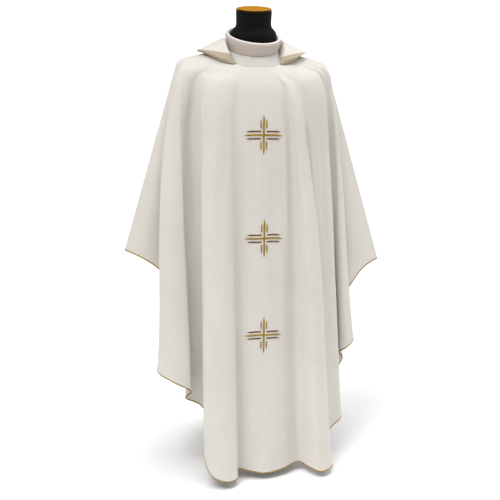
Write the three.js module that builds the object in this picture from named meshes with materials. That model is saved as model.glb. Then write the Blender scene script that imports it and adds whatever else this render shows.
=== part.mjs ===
// Gothic chasuble of fine ivory cloth, hanging on a limbless dress form.
// Millimetres. The front faces -Y, the viewer's right is +X, up is +Z and the floor is Z = 0.
import * as THREE from "three";

// Cloth and seams
const WALL = 2;
const BAND_WALL = 1.6;
const SEAM = 0.3;

// Neckline of the front and back
const NECK_HALF_WIDTH = 76;
const NECK_FRONT = 90;
const NECK_BACK = 78;
const NECK_FRONT_HEIGHT = 1333;
const NECK_SIDE_HEIGHT = 1367;
const NECK_BACK_HEIGHT = 1378;

// Where the cloth leaves the shoulders, chest and back and starts to hang
const BREAK_HALF_WIDTH = 232;
const BREAK_FRONT = 135;
const BREAK_BACK = 122;
const BREAK_SIDE_HEIGHT = 1332;
const BREAK_FRONT_DROP = 77;
const BREAK_BACK_DROP = 42;
const SHOULDER_TILT = 0.037;

// Roll collar and the stand under it
const RIM_HEIGHT = 1413;
const RIM_TILT_X = -0.07;
const RIM_TILT_Y = 0.16;
const ROLL_HEIGHT = 37;
const STAND_RADIUS = 71.3;
const STAND_TOP = 12;
const COLLAR_STEPS = 48;

// Hem binding
const BINDING_THICKNESS = 3.6;
const BINDING_WIDTH = 3.5;
const BINDING_GAP = 0.6;
const STEEPEST_HEM = 0.4;
const LEVEL_HEM = 0.95;

// Embroidered crosses
const CROSS_LIFT = 0.45;
const CROSS_THICKNESS = 1.2;
const CROSS_HALF_HEIGHT = 59;
const CROSS_HALF_WIDTH = 58;
const LONG_BAR = 5.2;
const CROSS_CELL = 7;

// Dress form
const CAP_RADIUS = 53;
const CAP_TOP = 1493;
const CAP_THICKNESS = 9;
const POLE_RADIUS = 16;
const BASE_RADIUS = 112;
const BASE_THICKNESS = 24;
const FORM_BOTTOM = 760;

const IVORY = { color: 0xe8e2d3, roughness: 0.82, metalness: 0 };
const IVORY_COLLAR = { color: 0xe6dfcd, roughness: 0.82, metalness: 0 };
const GOLD_BRAID = { color: 0xa98732, roughness: 0.5, metalness: 0.45 };
const GOLD_UPRIGHT = { color: 0xb59a3c, roughness: 0.45, metalness: 0.45 };
const GOLD_LEVEL = { color: 0x9c7a22, roughness: 0.45, metalness: 0.45 };
const BLACK_JERSEY = { color: 0x15130f, roughness: 0.9, metalness: 0 };
const ORANGE_WOOD = { color: 0xb8661f, roughness: 0.35, metalness: 0 };
const DARK_METAL = { color: 0x2b2926, roughness: 0.45, metalness: 0.7 };

// Folds of the front, from the wearer's right side tip to the left one.
// turn: degrees round the neck. x, y, z: the fold's end at the hem. bow: sideways swell on the way down.
// tuck: how far the fold stands out below the shoulder, or lies in where it is under nought. steps: columns.
const FRONT_FOLDS = [
  { fold: "left side tip", turn: -90, x: -396, y: 0, z: 748, bow: 0, tuck: 0, steps: 2 },
  { fold: "left wing", turn: -88.5, x: -342, y: -22, z: 725, bow: 0, tuck: 0, steps: 2 },
  { fold: "left wing return", turn: -87, x: -285, y: -28, z: 680, bow: -4, tuck: 0, steps: 3 },
  { fold: "left hidden valley", turn: -85, x: -245, y: -42, z: 585, bow: -8, tuck: -5, steps: 3 },
  { fold: "left pleat back", turn: -82.5, x: -270, y: -78, z: 475, bow: -20, tuck: -2, steps: 3 },
  { fold: "left pleat edge", turn: -80, x: -309, y: -108, z: 374, bow: -28, tuck: 4, steps: 3 },
  { fold: "left pleat face", turn: -75, x: -266, y: -150, z: 350, bow: -24, tuck: 6, steps: 3 },
  { fold: "left pleat turn", turn: -69, x: -208, y: -150, z: 312, bow: -16, tuck: 3, steps: 2 },
  { fold: "small return", turn: -64, x: -220, y: -120, z: 276, bow: -12, tuck: -8, steps: 2 },
  { fold: "left valley", turn: -59, x: -165, y: -108, z: 236, bow: -10, tuck: -22, steps: 2 },
  { fold: "left valley back", turn: -53, x: -135, y: -132, z: 172, bow: -8, tuck: -21, steps: 3 },
  { fold: "big roll edge", turn: -47, x: -172, y: -190, z: 114, bow: -8, tuck: -3, steps: 3 },
  { fold: "big roll side", turn: -40, x: -154, y: -238, z: 50, bow: -4, tuck: 8, steps: 2 },
  { fold: "big roll front", turn: -33, x: -110, y: -257, z: 34, bow: 0, tuck: 10, steps: 2 },
  { fold: "big roll turn", turn: -26, x: -70, y: -232, z: 28, bow: 0, tuck: 4, steps: 2 },
  { fold: "centre left valley", turn: -19.5, x: -62, y: -188, z: 36, bow: 0, tuck: -7, steps: 3 },
  { fold: "centre left", turn: -12, x: -26, y: -198, z: 34, bow: 0, tuck: -5, steps: 3 },
  { fold: "centre ridge", turn: 3, x: 24, y: -214, z: 28, bow: 0, tuck: -2, steps: 4 },
  { fold: "centre right", turn: 15, x: 94, y: -200, z: 32, bow: 3, tuck: -5, steps: 3 },
  { fold: "centre right valley", turn: 21, x: 152, y: -172, z: 34, bow: 8, tuck: -11, steps: 2 },
  { fold: "right roll side", turn: 23, x: 178, y: -206, z: 31, bow: 12, tuck: -3, steps: 2 },
  { fold: "right roll front", turn: 25, x: 211, y: -238, z: 28, bow: 16, tuck: 6, steps: 2 },
  { fold: "right roll edge", turn: 27.5, x: 257, y: -206, z: 30, bow: 20, tuck: 7, steps: 3 },
  { fold: "right hidden valley", turn: 36, x: 240, y: -150, z: 75, bow: 8, tuck: -13, steps: 3 },
  { fold: "outer roll face", turn: 47, x: 272, y: -122, z: 122, bow: 0, tuck: -1, steps: 3 },
  { fold: "outer roll edge", turn: 60, x: 313, y: -100, z: 152, bow: 2, tuck: 7, steps: 3 },
  { fold: "outer hidden valley", turn: 66, x: 284, y: -48, z: 255, bow: -8, tuck: -12, steps: 3 },
  { fold: "lower flap edge", turn: 70.5, x: 324, y: -48, z: 345, bow: -16, tuck: -2, steps: 3 },
  { fold: "lower flap return", turn: 74, x: 304, y: -68, z: 374, bow: 2, tuck: -5, steps: 3 },
  { fold: "flap face", turn: 77.5, x: 322, y: -93, z: 402, bow: 10, tuck: 5, steps: 3 },
  { fold: "flap edge", turn: 81, x: 350, y: -70, z: 423, bow: 8, tuck: 5, steps: 3 },
  { fold: "right wing valley", turn: 84, x: 306, y: -34, z: 525, bow: 4, tuck: -8, steps: 3 },
  { fold: "right wing return", turn: 86.5, x: 343, y: -38, z: 605, bow: 2, tuck: 0, steps: 2 },
  { fold: "right wing", turn: 88.5, x: 386, y: -28, z: 657, bow: 0, tuck: 0, steps: 2 },
  { fold: "right side tip", turn: 90, x: 440, y: 0, z: 675, bow: 0, tuck: 0, steps: 0 },
];

// Folds of the back, from the right side tip round to the left one
const BACK_FOLDS = [
  { fold: "right side tip", turn: 90, x: 440, y: 0, z: 675, bow: 0, tuck: 0, steps: 2 },
  { fold: "right back wing", turn: 94, x: 382, y: 30, z: 640, bow: 0, tuck: -3, steps: 2 },
  { fold: "right back valley", turn: 99, x: 322, y: 44, z: 545, bow: 2, tuck: -12, steps: 3 },
  { fold: "right back edge", turn: 104, x: 352, y: 104, z: 420, bow: 8, tuck: 6, steps: 3 },
  { fold: "right back return", turn: 111, x: 290, y: 98, z: 290, bow: 6, tuck: -12, steps: 2 },
  { fold: "right back roll", turn: 119, x: 285, y: 165, z: 175, bow: 4, tuck: 6, steps: 3 },
  { fold: "right back hollow", turn: 129, x: 218, y: 150, z: 95, bow: 0, tuck: -14, steps: 2 },
  { fold: "right rear roll", turn: 140, x: 192, y: 222, z: 45, bow: 0, tuck: 8, steps: 3 },
  { fold: "right rear hollow", turn: 152, x: 128, y: 186, z: 30, bow: 0, tuck: -12, steps: 2 },
  { fold: "right rear ridge", turn: 163, x: 82, y: 232, z: 20, bow: 0, tuck: 6, steps: 2 },
  { fold: "rear centre hollow", turn: 178, x: 16, y: 196, z: 24, bow: 0, tuck: -9, steps: 3 },
  { fold: "left rear ridge", turn: 193, x: -42, y: 232, z: 22, bow: 0, tuck: 6, steps: 2 },
  { fold: "left rear edge", turn: 202, x: -72, y: 212, z: 36, bow: 0, tuck: 5, steps: 3 },
  { fold: "left rear return", turn: 210, x: -60, y: 164, z: 92, bow: 0, tuck: -9, steps: 2 },
  { fold: "left rear hollow", turn: 218, x: -96, y: 146, z: 154, bow: 0, tuck: -12, steps: 2 },
  { fold: "left rear roll", turn: 227, x: -140, y: 176, z: 184, bow: 0, tuck: 6, steps: 2 },
  { fold: "left back face", turn: 236, x: -180, y: 150, z: 236, bow: 0, tuck: 4, steps: 2 },
  { fold: "left back hollow", turn: 245, x: -204, y: 104, z: 310, bow: -2, tuck: -12, steps: 2 },
  { fold: "left back roll", turn: 252, x: -240, y: 92, z: 405, bow: -4, tuck: 6, steps: 3 },
  { fold: "left back return", turn: 258, x: -224, y: 48, z: 520, bow: -4, tuck: -8, steps: 2 },
  { fold: "left back valley", turn: 263, x: -250, y: 50, z: 640, bow: -2, tuck: -6, steps: 3 },
  { fold: "left back wing", turn: 267, x: -320, y: 26, z: 724, bow: 0, tuck: 0, steps: 2 },
  { fold: "left side tip", turn: 270, x: -396, y: 0, z: 748, bow: 0, tuck: 0, steps: 0 },
];

// Rows of a hanging panel: over the shoulder, round the break and down the fall
const PANEL_ROWS = [
  { stretch: "yoke", at: 0 },
  { stretch: "yoke", at: 0.5 },
  { stretch: "yoke", at: 1 },
  { stretch: "break", at: 0.3 },
  { stretch: "break", at: 0.6 },
  { stretch: "break", at: 1 },
  { stretch: "fall", at: 0.1 },
  { stretch: "fall", at: 0.22 },
  { stretch: "fall", at: 0.36 },
  { stretch: "fall", at: 0.52 },
  { stretch: "fall", at: 0.68 },
  { stretch: "fall", at: 0.84 },
  { stretch: "fall", at: 1 },
];

// Section of the roll collar, from its inner leaf over the rim to the outer edge
const ROLL_SECTION = [
  { radius: 73.2, below: 27 },
  { radius: 73.2, below: 10 },
  { radius: 74.8, below: 2.5 },
  { radius: 78.2, below: 0 },
  { radius: 82, below: 1.5 },
  { radius: 84, below: 6 },
  { radius: 83.2, below: 14 },
  { radius: 81.2, below: 23 },
  { radius: 78.8, below: 31 },
  { radius: 77, below: 37 },
];

// Flat pointed collar. turn, rise: where a line of its leaf starts, and how high above the neckline.
// endTurn, reach, lift: where that line ends on the shoulder, and how far the end stands off it.
// crown: how much higher the middle stands. swing: how far the middle bows to the front, in degrees.
const CAPE_LINES = [
  { line: "right front edge", turn: 55, rise: 6, endTurn: 88, reach: 88, lift: 13.5, crown: 10, swing: -3, steps: 2 },
  { line: "right shoulder", turn: 73, rise: 21, endTurn: 95, reach: 84, lift: 12.5, crown: 4, swing: 0, steps: 3 },
  { line: "right back", turn: 92, rise: 28, endTurn: 106, reach: 82, lift: 9, crown: 2, swing: 0, steps: 3 },
  { line: "right rear", turn: 128, rise: 24, endTurn: 140, reach: 78, lift: 5, crown: 2, swing: 0, steps: 4 },
  { line: "centre back", turn: 180, rise: 21, endTurn: 180, reach: 74, lift: 4, crown: 2, swing: 0, steps: 4 },
  { line: "left rear", turn: 232, rise: 24, endTurn: 220, reach: 78, lift: 5, crown: 2, swing: 0, steps: 3 },
  { line: "left back", turn: 268, rise: 28, endTurn: 252, reach: 86, lift: 9, crown: 2, swing: 0, steps: 3 },
  { line: "left shoulder", turn: 288, rise: 19, endTurn: 262, reach: 89, lift: 12.5, crown: 3, swing: 0, steps: 2 },
  { line: "left front edge", turn: 307, rise: 3, endTurn: 268, reach: 93, lift: 14, crown: 7, swing: 3, steps: 0 },
];
const CAPE_ROWS = 6;
const CAPE_CLEARANCE = 1.3;

// The leaf's foot at the neckline, and the turned-under edge below its front edges, in degrees round the neck
const CAPE_FOOT = { out: 3, lift: -0.95 };
const CAPE_START = 9;
const UNDER_TURN = { neck: 5, tip: -8 };
const UNDER_LIFT = 7;

// Sections of the dress form's body, from the neck down
const FORM_SECTIONS = [
  { height: 1483.7, width: 54, front: 54, back: 54, tilt: 0 },
  { height: 1440, width: 54, front: 54, back: 54, tilt: 0 },
  { height: 1430, width: 61, front: 61, back: 61, tilt: 0 },
  { height: 1422, width: 67.5, front: 67.5, back: 67.5, tilt: 0 },
  { height: 1408, width: 70, front: 70, back: 70, tilt: 0 },
  { height: 1392, width: 70, front: 70, back: 70, tilt: 0 },
  { height: 1376, width: 66, front: 66, back: 66, tilt: 0 },
  { height: 1362, width: 74, front: 60, back: 66, tilt: 1 },
  { height: 1350, width: 112, front: 50, back: 68, tilt: 1 },
  { height: 1338, width: 154, front: 58, back: 74, tilt: 1 },
  { height: 1324, width: 192, front: 68, back: 80, tilt: 1 },
  { height: 1306, width: 212, front: 78, back: 88, tilt: 1 },
  { height: 1280, width: 217, front: 94, back: 96, tilt: 1 },
  { height: 1235, width: 214, front: 116, back: 106, tilt: 0 },
  { height: 1160, width: 196, front: 124, back: 108, tilt: 0 },
  { height: 1070, width: 174, front: 114, back: 100, tilt: 0 },
  { height: 960, width: 154, front: 96, back: 88, tilt: 0 },
  { height: 850, width: 168, front: 104, back: 104, tilt: 0 },
  { height: 760, width: 178, front: 108, back: 114, tilt: 0 },
];

// Places of the three crosses on the front. lean and arch: how the level bars rise to one side and sag at both ends
const CROSSES = [
  { name: "upper", x: 7.5, z: 1138, lean: -2, arch: 3.3 },
  { name: "middle", x: 13.5, z: 818, lean: -1, arch: 4.9 },
  { name: "lower", x: 16, z: 504, lean: -0.5, arch: 5.4 },
];

// Bars of a cross about its centre, all in millimetres
const SHORT_BARS = [
  { bar: "top_left", x: [-10.6, -6.4], z: [21, 46], upright: true },
  { bar: "top_right", x: [6.4, 10.6], z: [21, 46], upright: true },
  { bar: "bottom_left", x: [-10.6, -6.4], z: [-46, -21], upright: true },
  { bar: "bottom_right", x: [6.4, 10.6], z: [-46, -21], upright: true },
  { bar: "left_high", x: [-51, -9], z: [9, 13], upright: false },
  { bar: "left_low", x: [-51, -9], z: [-13, -9], upright: false },
  { bar: "right_high", x: [9, 51], z: [9, 13], upright: false },
  { bar: "right_low", x: [9, 51], z: [-13, -9], upright: false },
];

const group = new THREE.Group();
group.name = "gothic_chasuble_on_dress_form";

function vector(x, y, z) {
  return new THREE.Vector3(x, y, z);
}

function radians(degrees) {
  return (degrees * Math.PI) / 180;
}

function mix(a, b, share) {
  return a + (b - a) * share;
}

function addPart(name, points, faces, look) {
  const positions = new Float32Array(points.length * 3);
  points.forEach((point, index) => point.toArray(positions, index * 3));
  const geometry = new THREE.BufferGeometry();
  geometry.setAttribute("position", new THREE.BufferAttribute(positions, 3));
  geometry.setIndex(faces.flat());
  geometry.computeVertexNormals();
  const mesh = new THREE.Mesh(geometry, new THREE.MeshStandardMaterial(look));
  mesh.name = name;
  group.add(mesh);
  return mesh;
}

// Points round the neckline, the break and the rim

function aroundNeck(turn) {
  const side = Math.sin(radians(turn));
  const front = Math.cos(radians(turn));
  const x = NECK_HALF_WIDTH * (1.25 * side - 0.25 * side ** 3);
  const reach = front >= 0 ? -NECK_FRONT * (1.2 * front - 0.2 * front ** 3) : NECK_BACK * (-front) ** 0.8;
  const frontHeight = mix(NECK_FRONT_HEIGHT, NECK_SIDE_HEIGHT, Math.abs(side) ** 6);
  const backHeight = mix(NECK_BACK_HEIGHT, NECK_SIDE_HEIGHT, side ** 2);
  const height = front >= 0 ? frontHeight : backHeight;
  return vector(x, reach, height - SHOULDER_TILT * x);
}

function aroundBreak(turn) {
  const side = Math.sin(radians(turn));
  const front = Math.cos(radians(turn));
  const x = BREAK_HALF_WIDTH * side;
  const reach = front >= 0 ? -BREAK_FRONT * front ** 0.8 : BREAK_BACK * (-front) ** 0.8;
  const drop = front >= 0 ? BREAK_FRONT_DROP * front ** 1.3 : BREAK_BACK_DROP * (-front) ** 1.3;
  return vector(x, reach, BREAK_SIDE_HEIGHT - drop - SHOULDER_TILT * x);
}

function aroundRim(turn, radius, below) {
  const x = radius * Math.sin(radians(turn));
  const y = -radius * Math.cos(radians(turn));
  const sideways = RIM_TILT_X * x * (1 - below / ROLL_HEIGHT);
  return vector(x, y, RIM_HEIGHT + sideways + RIM_TILT_Y * y - below);
}

// Values between the rows of a table, each row opening as many steps as it names

function rowsThrough(table, keys) {
  const last = table.length - 1;
  const groups = [keys.slice(0, 3), keys.slice(3, 6), keys.slice(6)].filter((group) => group.length);
  const curves = groups.map((group) => {
    const points = table.map((row) => vector(row[group[0]], row[group[1]], row[group[2]] ?? 0));
    return new THREE.CatmullRomCurve3(points, false, "centripetal");
  });
  const lines = [];
  table.forEach((row, index) => {
    const count = index === last ? 1 : row.steps;
    for (let step = 0; step < count; step += 1) {
      const values = {};
      groups.forEach((group, which) => {
        const point = curves[which].getPoint((index + step / count) / last);
        group.forEach((key, place) => {
          values[key] = point.getComponent(place);
        });
      });
      lines.push(values);
    }
  });
  return lines;
}

// Unit normals of a grid of points, outward where columns run round by turn and rows run down

function gridNormals(grid, closed) {
  const columns = grid[0].length;
  const cellNormal = (r, c) => {
    const next = (c + 1) % columns;
    const falling = grid[r + 1][next].clone().sub(grid[r][c]);
    const rising = grid[r][next].clone().sub(grid[r + 1][c]);
    return falling.cross(rising).normalize();
  };
  const cells = grid.slice(1).map((row, r) => row.map((point, c) => cellNormal(r, c)));
  return grid.map((row, r) =>
    row.map((point, c) => {
      const total = vector(0, 0, 0);
      [r - 1, r].forEach((up) => {
        [c - 1, c].forEach((left) => {
          const inside = up >= 0 && up < cells.length && (closed || (left >= 0 && left < columns - 1));
          if (inside) {
            total.add(cells[up][(left + columns) % columns]);
          }
        });
      });
      return total.normalize();
    }),
  );
}

// A wall of cloth of even thickness on a grid of middle points

function addWall(name, grid, thickness, closed, look) {
  const normals = gridNormals(grid, closed);
  const rows = grid.length;
  const columns = grid[0].length;
  const half = thickness / 2;
  const outer = grid.map((row, r) => row.map((p, c) => p.clone().addScaledVector(normals[r][c], half)));
  const inner = grid.map((row, r) => row.map((p, c) => p.clone().addScaledVector(normals[r][c], -half)));
  const points = [...outer.flat(), ...inner.flat()];
  const out = (r, c) => r * columns + (c % columns);
  const back = (r, c) => rows * columns + out(r, c);
  const faces = [];
  const outerFaces = [];
  const lastColumn = closed ? columns : columns - 1;
  for (let r = 0; r < rows - 1; r += 1) {
    for (let c = 0; c < lastColumn; c += 1) {
      const next = (c + 1) % columns;
      const falling = grid[r][c].distanceTo(grid[r + 1][next]);
      const rising = grid[r + 1][c].distanceTo(grid[r][next]);
      const [a, b, d, e] = [[r, c], [r + 1, c], [r + 1, c + 1], [r, c + 1]];
      const halves = falling <= rising ? [[a, b, d], [a, d, e]] : [[a, b, e], [b, d, e]];
      halves.forEach((corners) => {
        outerFaces.push(corners.map((corner) => out(...corner)));
        faces.push(corners.map((corner) => back(...corner)).reverse());
      });
    }
  }
  faces.push(...outerFaces);
  for (let c = 0; c < lastColumn; c += 1) {
    const low = rows - 1;
    faces.push([out(0, c), out(0, c + 1), back(0, c + 1)], [out(0, c), back(0, c + 1), back(0, c)]);
    faces.push([out(low, c + 1), out(low, c), back(low, c)], [out(low, c + 1), back(low, c), back(low, c + 1)]);
  }
  if (!closed) {
    const end = columns - 1;
    for (let r = 0; r < rows - 1; r += 1) {
      faces.push([out(r + 1, 0), out(r, 0), back(r, 0)], [out(r + 1, 0), back(r, 0), back(r + 1, 0)]);
      faces.push([out(r, end), out(r + 1, end), back(r + 1, end)], [out(r, end), back(r + 1, end), back(r, end)]);
    }
  }
  addPart(name, points, faces, look);
  return { outer: outerFaces.map((face) => face.map((index) => points[index])), grid, normals };
}

// How far a wall stops short of a seam line so that two walls of one thickness stay clear in the bend

function seamStep(first, second, thickness) {
  const bend = first.angleTo(second);
  return SEAM / 2 + (Math.tan(bend / 2) * thickness) / 2;
}

function standFoot(turn) {
  const foot = aroundNeck(turn);
  const knee = aroundRim(turn, STAND_RADIUS, 34);
  const head = aroundRim(turn, STAND_RADIUS, STAND_TOP);
  const run = foot.clone().sub(knee).normalize();
  const yoke = aroundBreak(turn).sub(foot).normalize();
  const step = seamStep(run, yoke, WALL);
  return { head, knee, foot: foot.addScaledVector(run, -step), yoke, step };
}

// One hanging line of a panel, from the neckline over the break to the hem

function hangingLine({ turn, x, y, z, bow }) {
  const end = vector(x, y, z);
  const side = Math.sin(radians(turn)) ** 2;
  const seam = standFoot(turn);
  const neck = aroundNeck(turn).addScaledVector(seam.yoke, seam.step);
  const turnPoint = aroundBreak(turn);
  const before = mix(0.45, 0.16, side);
  const after = mix(0.14, 0.035, side);
  const breakStart = turnPoint.clone().lerp(neck, before);
  const breakEnd = turnPoint.clone().lerp(end, after);
  return PANEL_ROWS.map(({ stretch, at }) => {
    if (stretch === "yoke") {
      return neck.clone().lerp(breakStart, at);
    }
    const curve = new THREE.QuadraticBezierCurve3(breakStart, turnPoint, breakEnd);
    const point = stretch === "break" ? curve.getPoint(at) : breakEnd.clone().lerp(end, at);
    const fallen = stretch === "break" ? after * at ** 2 : mix(after, 1, at);
    point.x += bow * 6.75 * fallen * (1 - fallen) ** 2;
    return point;
  });
}

// Folds set in over the end of the yoke, are deepest below the break and give way to the hem's own folds

function tuckShare({ stretch, at }) {
  if (stretch === "yoke") {
    return 0.4 * THREE.MathUtils.smoothstep(at, 0.5, 1);
  }
  return stretch === "break" ? mix(0.4, 1, at) : 1 - THREE.MathUtils.smoothstep(at, 0.2, 1);
}

function tuckFolds(grid, tucks) {
  const normals = gridNormals(grid, false);
  grid.forEach((row, r) => {
    row.forEach((point, c) => point.addScaledVector(normals[r][c], tucks[c] * tuckShare(PANEL_ROWS[r])));
  });
  return grid;
}

// A panel's two side columns are moved apart so that the seam stays open by the seam gap

function partSides(grid, thickness, sign) {
  const normals = gridNormals(grid, false);
  grid.forEach((row, r) => {
    [0, row.length - 1].forEach((c) => {
      row[c].y = sign * (SEAM / 2 + (Math.abs(normals[r][c].y) * thickness) / 2);
    });
  });
  return grid;
}

function addPanel(name, folds, sign) {
  const columns = rowsThrough(folds, ["x", "y", "z", "turn", "bow", "tuck"]);
  const lines = columns.map(hangingLine);
  const grid = PANEL_ROWS.map((row, r) => lines.map((line) => line[r]));
  tuckFolds(grid, columns.map((column) => column.tuck));
  return addWall(name, partSides(grid, WALL, sign), WALL, false, IVORY);
}

// Binding: a strip folded round the hem, just under the panel's edge

function addBinding(name, panel, sign) {
  const low = panel.grid.length - 1;
  const edge = panel.grid[low];
  const rings = edge.map((point, c) => {
    const normal = panel.normals[low][c];
    const along = edge[Math.min(c + 1, edge.length - 1)].clone().sub(edge[Math.max(c - 1, 0)]).normalize();
    const down = point.clone().sub(panel.grid[low - 1][c]).normalize();
    const slant = Math.max(down.clone().cross(along).length(), STEEPEST_HEM);
    const level = THREE.MathUtils.smoothstep(slant, STEEPEST_HEM, LEVEL_HEM);
    const half = mix(WALL, BINDING_THICKNESS, level) / 2;
    const middle = point.clone();
    if (c === 0 || c === edge.length - 1) {
      middle.y = sign * (SEAM / 2 + Math.abs(normal.y) * half);
    }
    const top = middle.clone().addScaledVector(down, BINDING_GAP / slant);
    const bottom = middle.clone().addScaledVector(down, (BINDING_GAP + BINDING_WIDTH) / slant);
    return [
      top.clone().addScaledVector(normal, half),
      bottom.clone().addScaledVector(normal, half),
      bottom.clone().addScaledVector(normal, -half),
      top.clone().addScaledVector(normal, -half),
    ];
  });
  const faces = [];
  for (let c = 0; c < rings.length - 1; c += 1) {
    for (let k = 0; k < 4; k += 1) {
      const a = c * 4 + k;
      const b = c * 4 + ((k + 1) % 4);
      faces.push([a, b, b + 4], [a, b + 4, a + 4]);
    }
  }
  const end = (rings.length - 1) * 4;
  faces.push([0, 3, 2], [0, 2, 1], [end, end + 1, end + 2], [end, end + 2, end + 3]);
  addPart(name, rings.flat(), faces, GOLD_BRAID);
}

// Foremost y of a set of triangles at a place seen from the front

function depthOver(triangles) {
  const boxes = triangles.map((corners) => ({ corners, box: new THREE.Box3().setFromPoints(corners) }));
  return (x, z) => {
    let foremost = Infinity;
    boxes.forEach(({ corners: [a, b, c], box }) => {
      if (x < box.min.x || x > box.max.x || z < box.min.z || z > box.max.z) {
        return;
      }
      const area = (b.x - a.x) * (c.z - a.z) - (c.x - a.x) * (b.z - a.z);
      const toB = ((x - a.x) * (c.z - a.z) - (c.x - a.x) * (z - a.z)) / area;
      const toC = ((b.x - a.x) * (z - a.z) - (x - a.x) * (b.z - a.z)) / area;
      if (toB >= 0 && toC >= 0 && toB + toC <= 1) {
        foremost = Math.min(foremost, a.y + toB * (b.y - a.y) + toC * (c.y - a.y));
      }
    });
    return foremost;
  };
}

// Embroidery: cells of a bar or plus, raised a little from the front

function addEmbroidery(name, place, xCuts, zCuts, isSewn, depthAt, look) {
  const points = [];
  const index = new Map();
  const pointAt = (i, k, raised) => {
    const key = `${i} ${k} ${raised}`;
    if (!index.has(key)) {
      const x = place.x + xCuts[i];
      const aside = xCuts[i] / CROSS_HALF_WIDTH;
      const z = place.z + zCuts[k] + place.lean * aside - place.arch * aside ** 2;
      const y = depthAt(x, z);
      const slopeX = (depthAt(x + 3, z) - depthAt(x - 3, z)) / 6;
      const slopeZ = (depthAt(x, z + 3) - depthAt(x, z - 3)) / 6;
      const normal = vector(slopeX, -1, slopeZ).normalize();
      const lift = CROSS_LIFT + (raised ? CROSS_THICKNESS : 0);
      index.set(key, points.length);
      points.push(vector(x, y, z).addScaledVector(normal, lift));
    }
    return index.get(key);
  };
  const sewn = (i, k) => i >= 0 && k >= 0 && i < xCuts.length - 1 && k < zCuts.length - 1 && isSewn(i, k);
  const faces = [];
  for (let i = 0; i < xCuts.length - 1; i += 1) {
    for (let k = 0; k < zCuts.length - 1; k += 1) {
      if (sewn(i, k)) {
        const low = [[i, k], [i + 1, k], [i + 1, k + 1], [i, k + 1]];
        const [a, b, c, d] = low.map(([p, q]) => pointAt(p, q, true));
        const [e, f, g, h] = low.map(([p, q]) => pointAt(p, q, false));
        faces.push([a, b, c], [a, c, d], [e, g, f], [e, h, g]);
        if (!sewn(i, k - 1)) {
          faces.push([e, f, b], [e, b, a]);
        }
        if (!sewn(i + 1, k)) {
          faces.push([f, g, c], [f, c, b]);
        }
        if (!sewn(i, k + 1)) {
          faces.push([g, h, d], [g, d, c]);
        }
        if (!sewn(i - 1, k)) {
          faces.push([h, e, a], [h, a, d]);
        }
      }
    }
  }
  addPart(name, points, faces, look);
}

function evenCuts(from, to, cell) {
  const count = Math.max(1, Math.round((to - from) / cell));
  return Array.from({ length: count + 1 }, (unused, index) => mix(from, to, index / count));
}

function addCross(place, depthAt) {
  const half = LONG_BAR / 2;
  const xCuts = [...evenCuts(-CROSS_HALF_WIDTH, -half, CROSS_CELL), ...evenCuts(half, CROSS_HALF_WIDTH, CROSS_CELL)];
  const zCuts = [...evenCuts(-CROSS_HALF_HEIGHT, -half, CROSS_CELL), ...evenCuts(half, CROSS_HALF_HEIGHT, CROSS_CELL)];
  const middle = (cuts, i) => Math.abs(cuts[i] + cuts[i + 1]) < 1;
  const inPlus = (i, k) => middle(xCuts, i) || middle(zCuts, k);
  addEmbroidery(`cross_${place.name}_plus`, place, xCuts, zCuts, inPlus, depthAt, GOLD_UPRIGHT);
  SHORT_BARS.forEach(({ bar, x, z, upright }) => {
    const barX = evenCuts(x[0], x[1], CROSS_CELL);
    const barZ = evenCuts(z[0], z[1], CROSS_CELL);
    const look = upright ? GOLD_UPRIGHT : GOLD_LEVEL;
    addEmbroidery(`cross_${place.name}_${bar}`, place, barX, barZ, () => true, depthAt, look);
  });
}

// Roll collar and stand, closed rings on the same turns as the form's neck

function ringTurns() {
  return Array.from({ length: COLLAR_STEPS }, (unused, index) => (index * 360) / COLLAR_STEPS);
}

function addRollCollar() {
  const grid = ROLL_SECTION.map(({ radius, below }) => ringTurns().map((turn) => aroundRim(turn, radius, below)));
  addWall("roll_collar", grid, BAND_WALL, true, IVORY_COLLAR);
}

function addStand() {
  const lines = ringTurns().map((turn) => {
    const { head, knee, foot } = standFoot(turn);
    return [head, knee, knee.clone().lerp(foot, 0.5), foot];
  });
  const grid = [0, 1, 2, 3].map((row) => lines.map((line) => line[row]));
  addWall("collar_stand", grid, BAND_WALL, true, IVORY_COLLAR);
}

// Flat pointed collar over the shoulders, its front edges rolled

function onYoke(turn, distance, lift) {
  const neck = aroundNeck(turn);
  const run = aroundBreak(turn).sub(neck).normalize();
  const place = neck.clone().addScaledVector(run, distance);
  const beside = aroundNeck(turn + 1);
  beside.addScaledVector(aroundBreak(turn + 1).sub(beside).normalize(), distance);
  const normal = run.cross(beside.sub(place)).normalize();
  return place.addScaledVector(normal, WALL + CAPE_CLEARANCE + lift);
}

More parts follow.
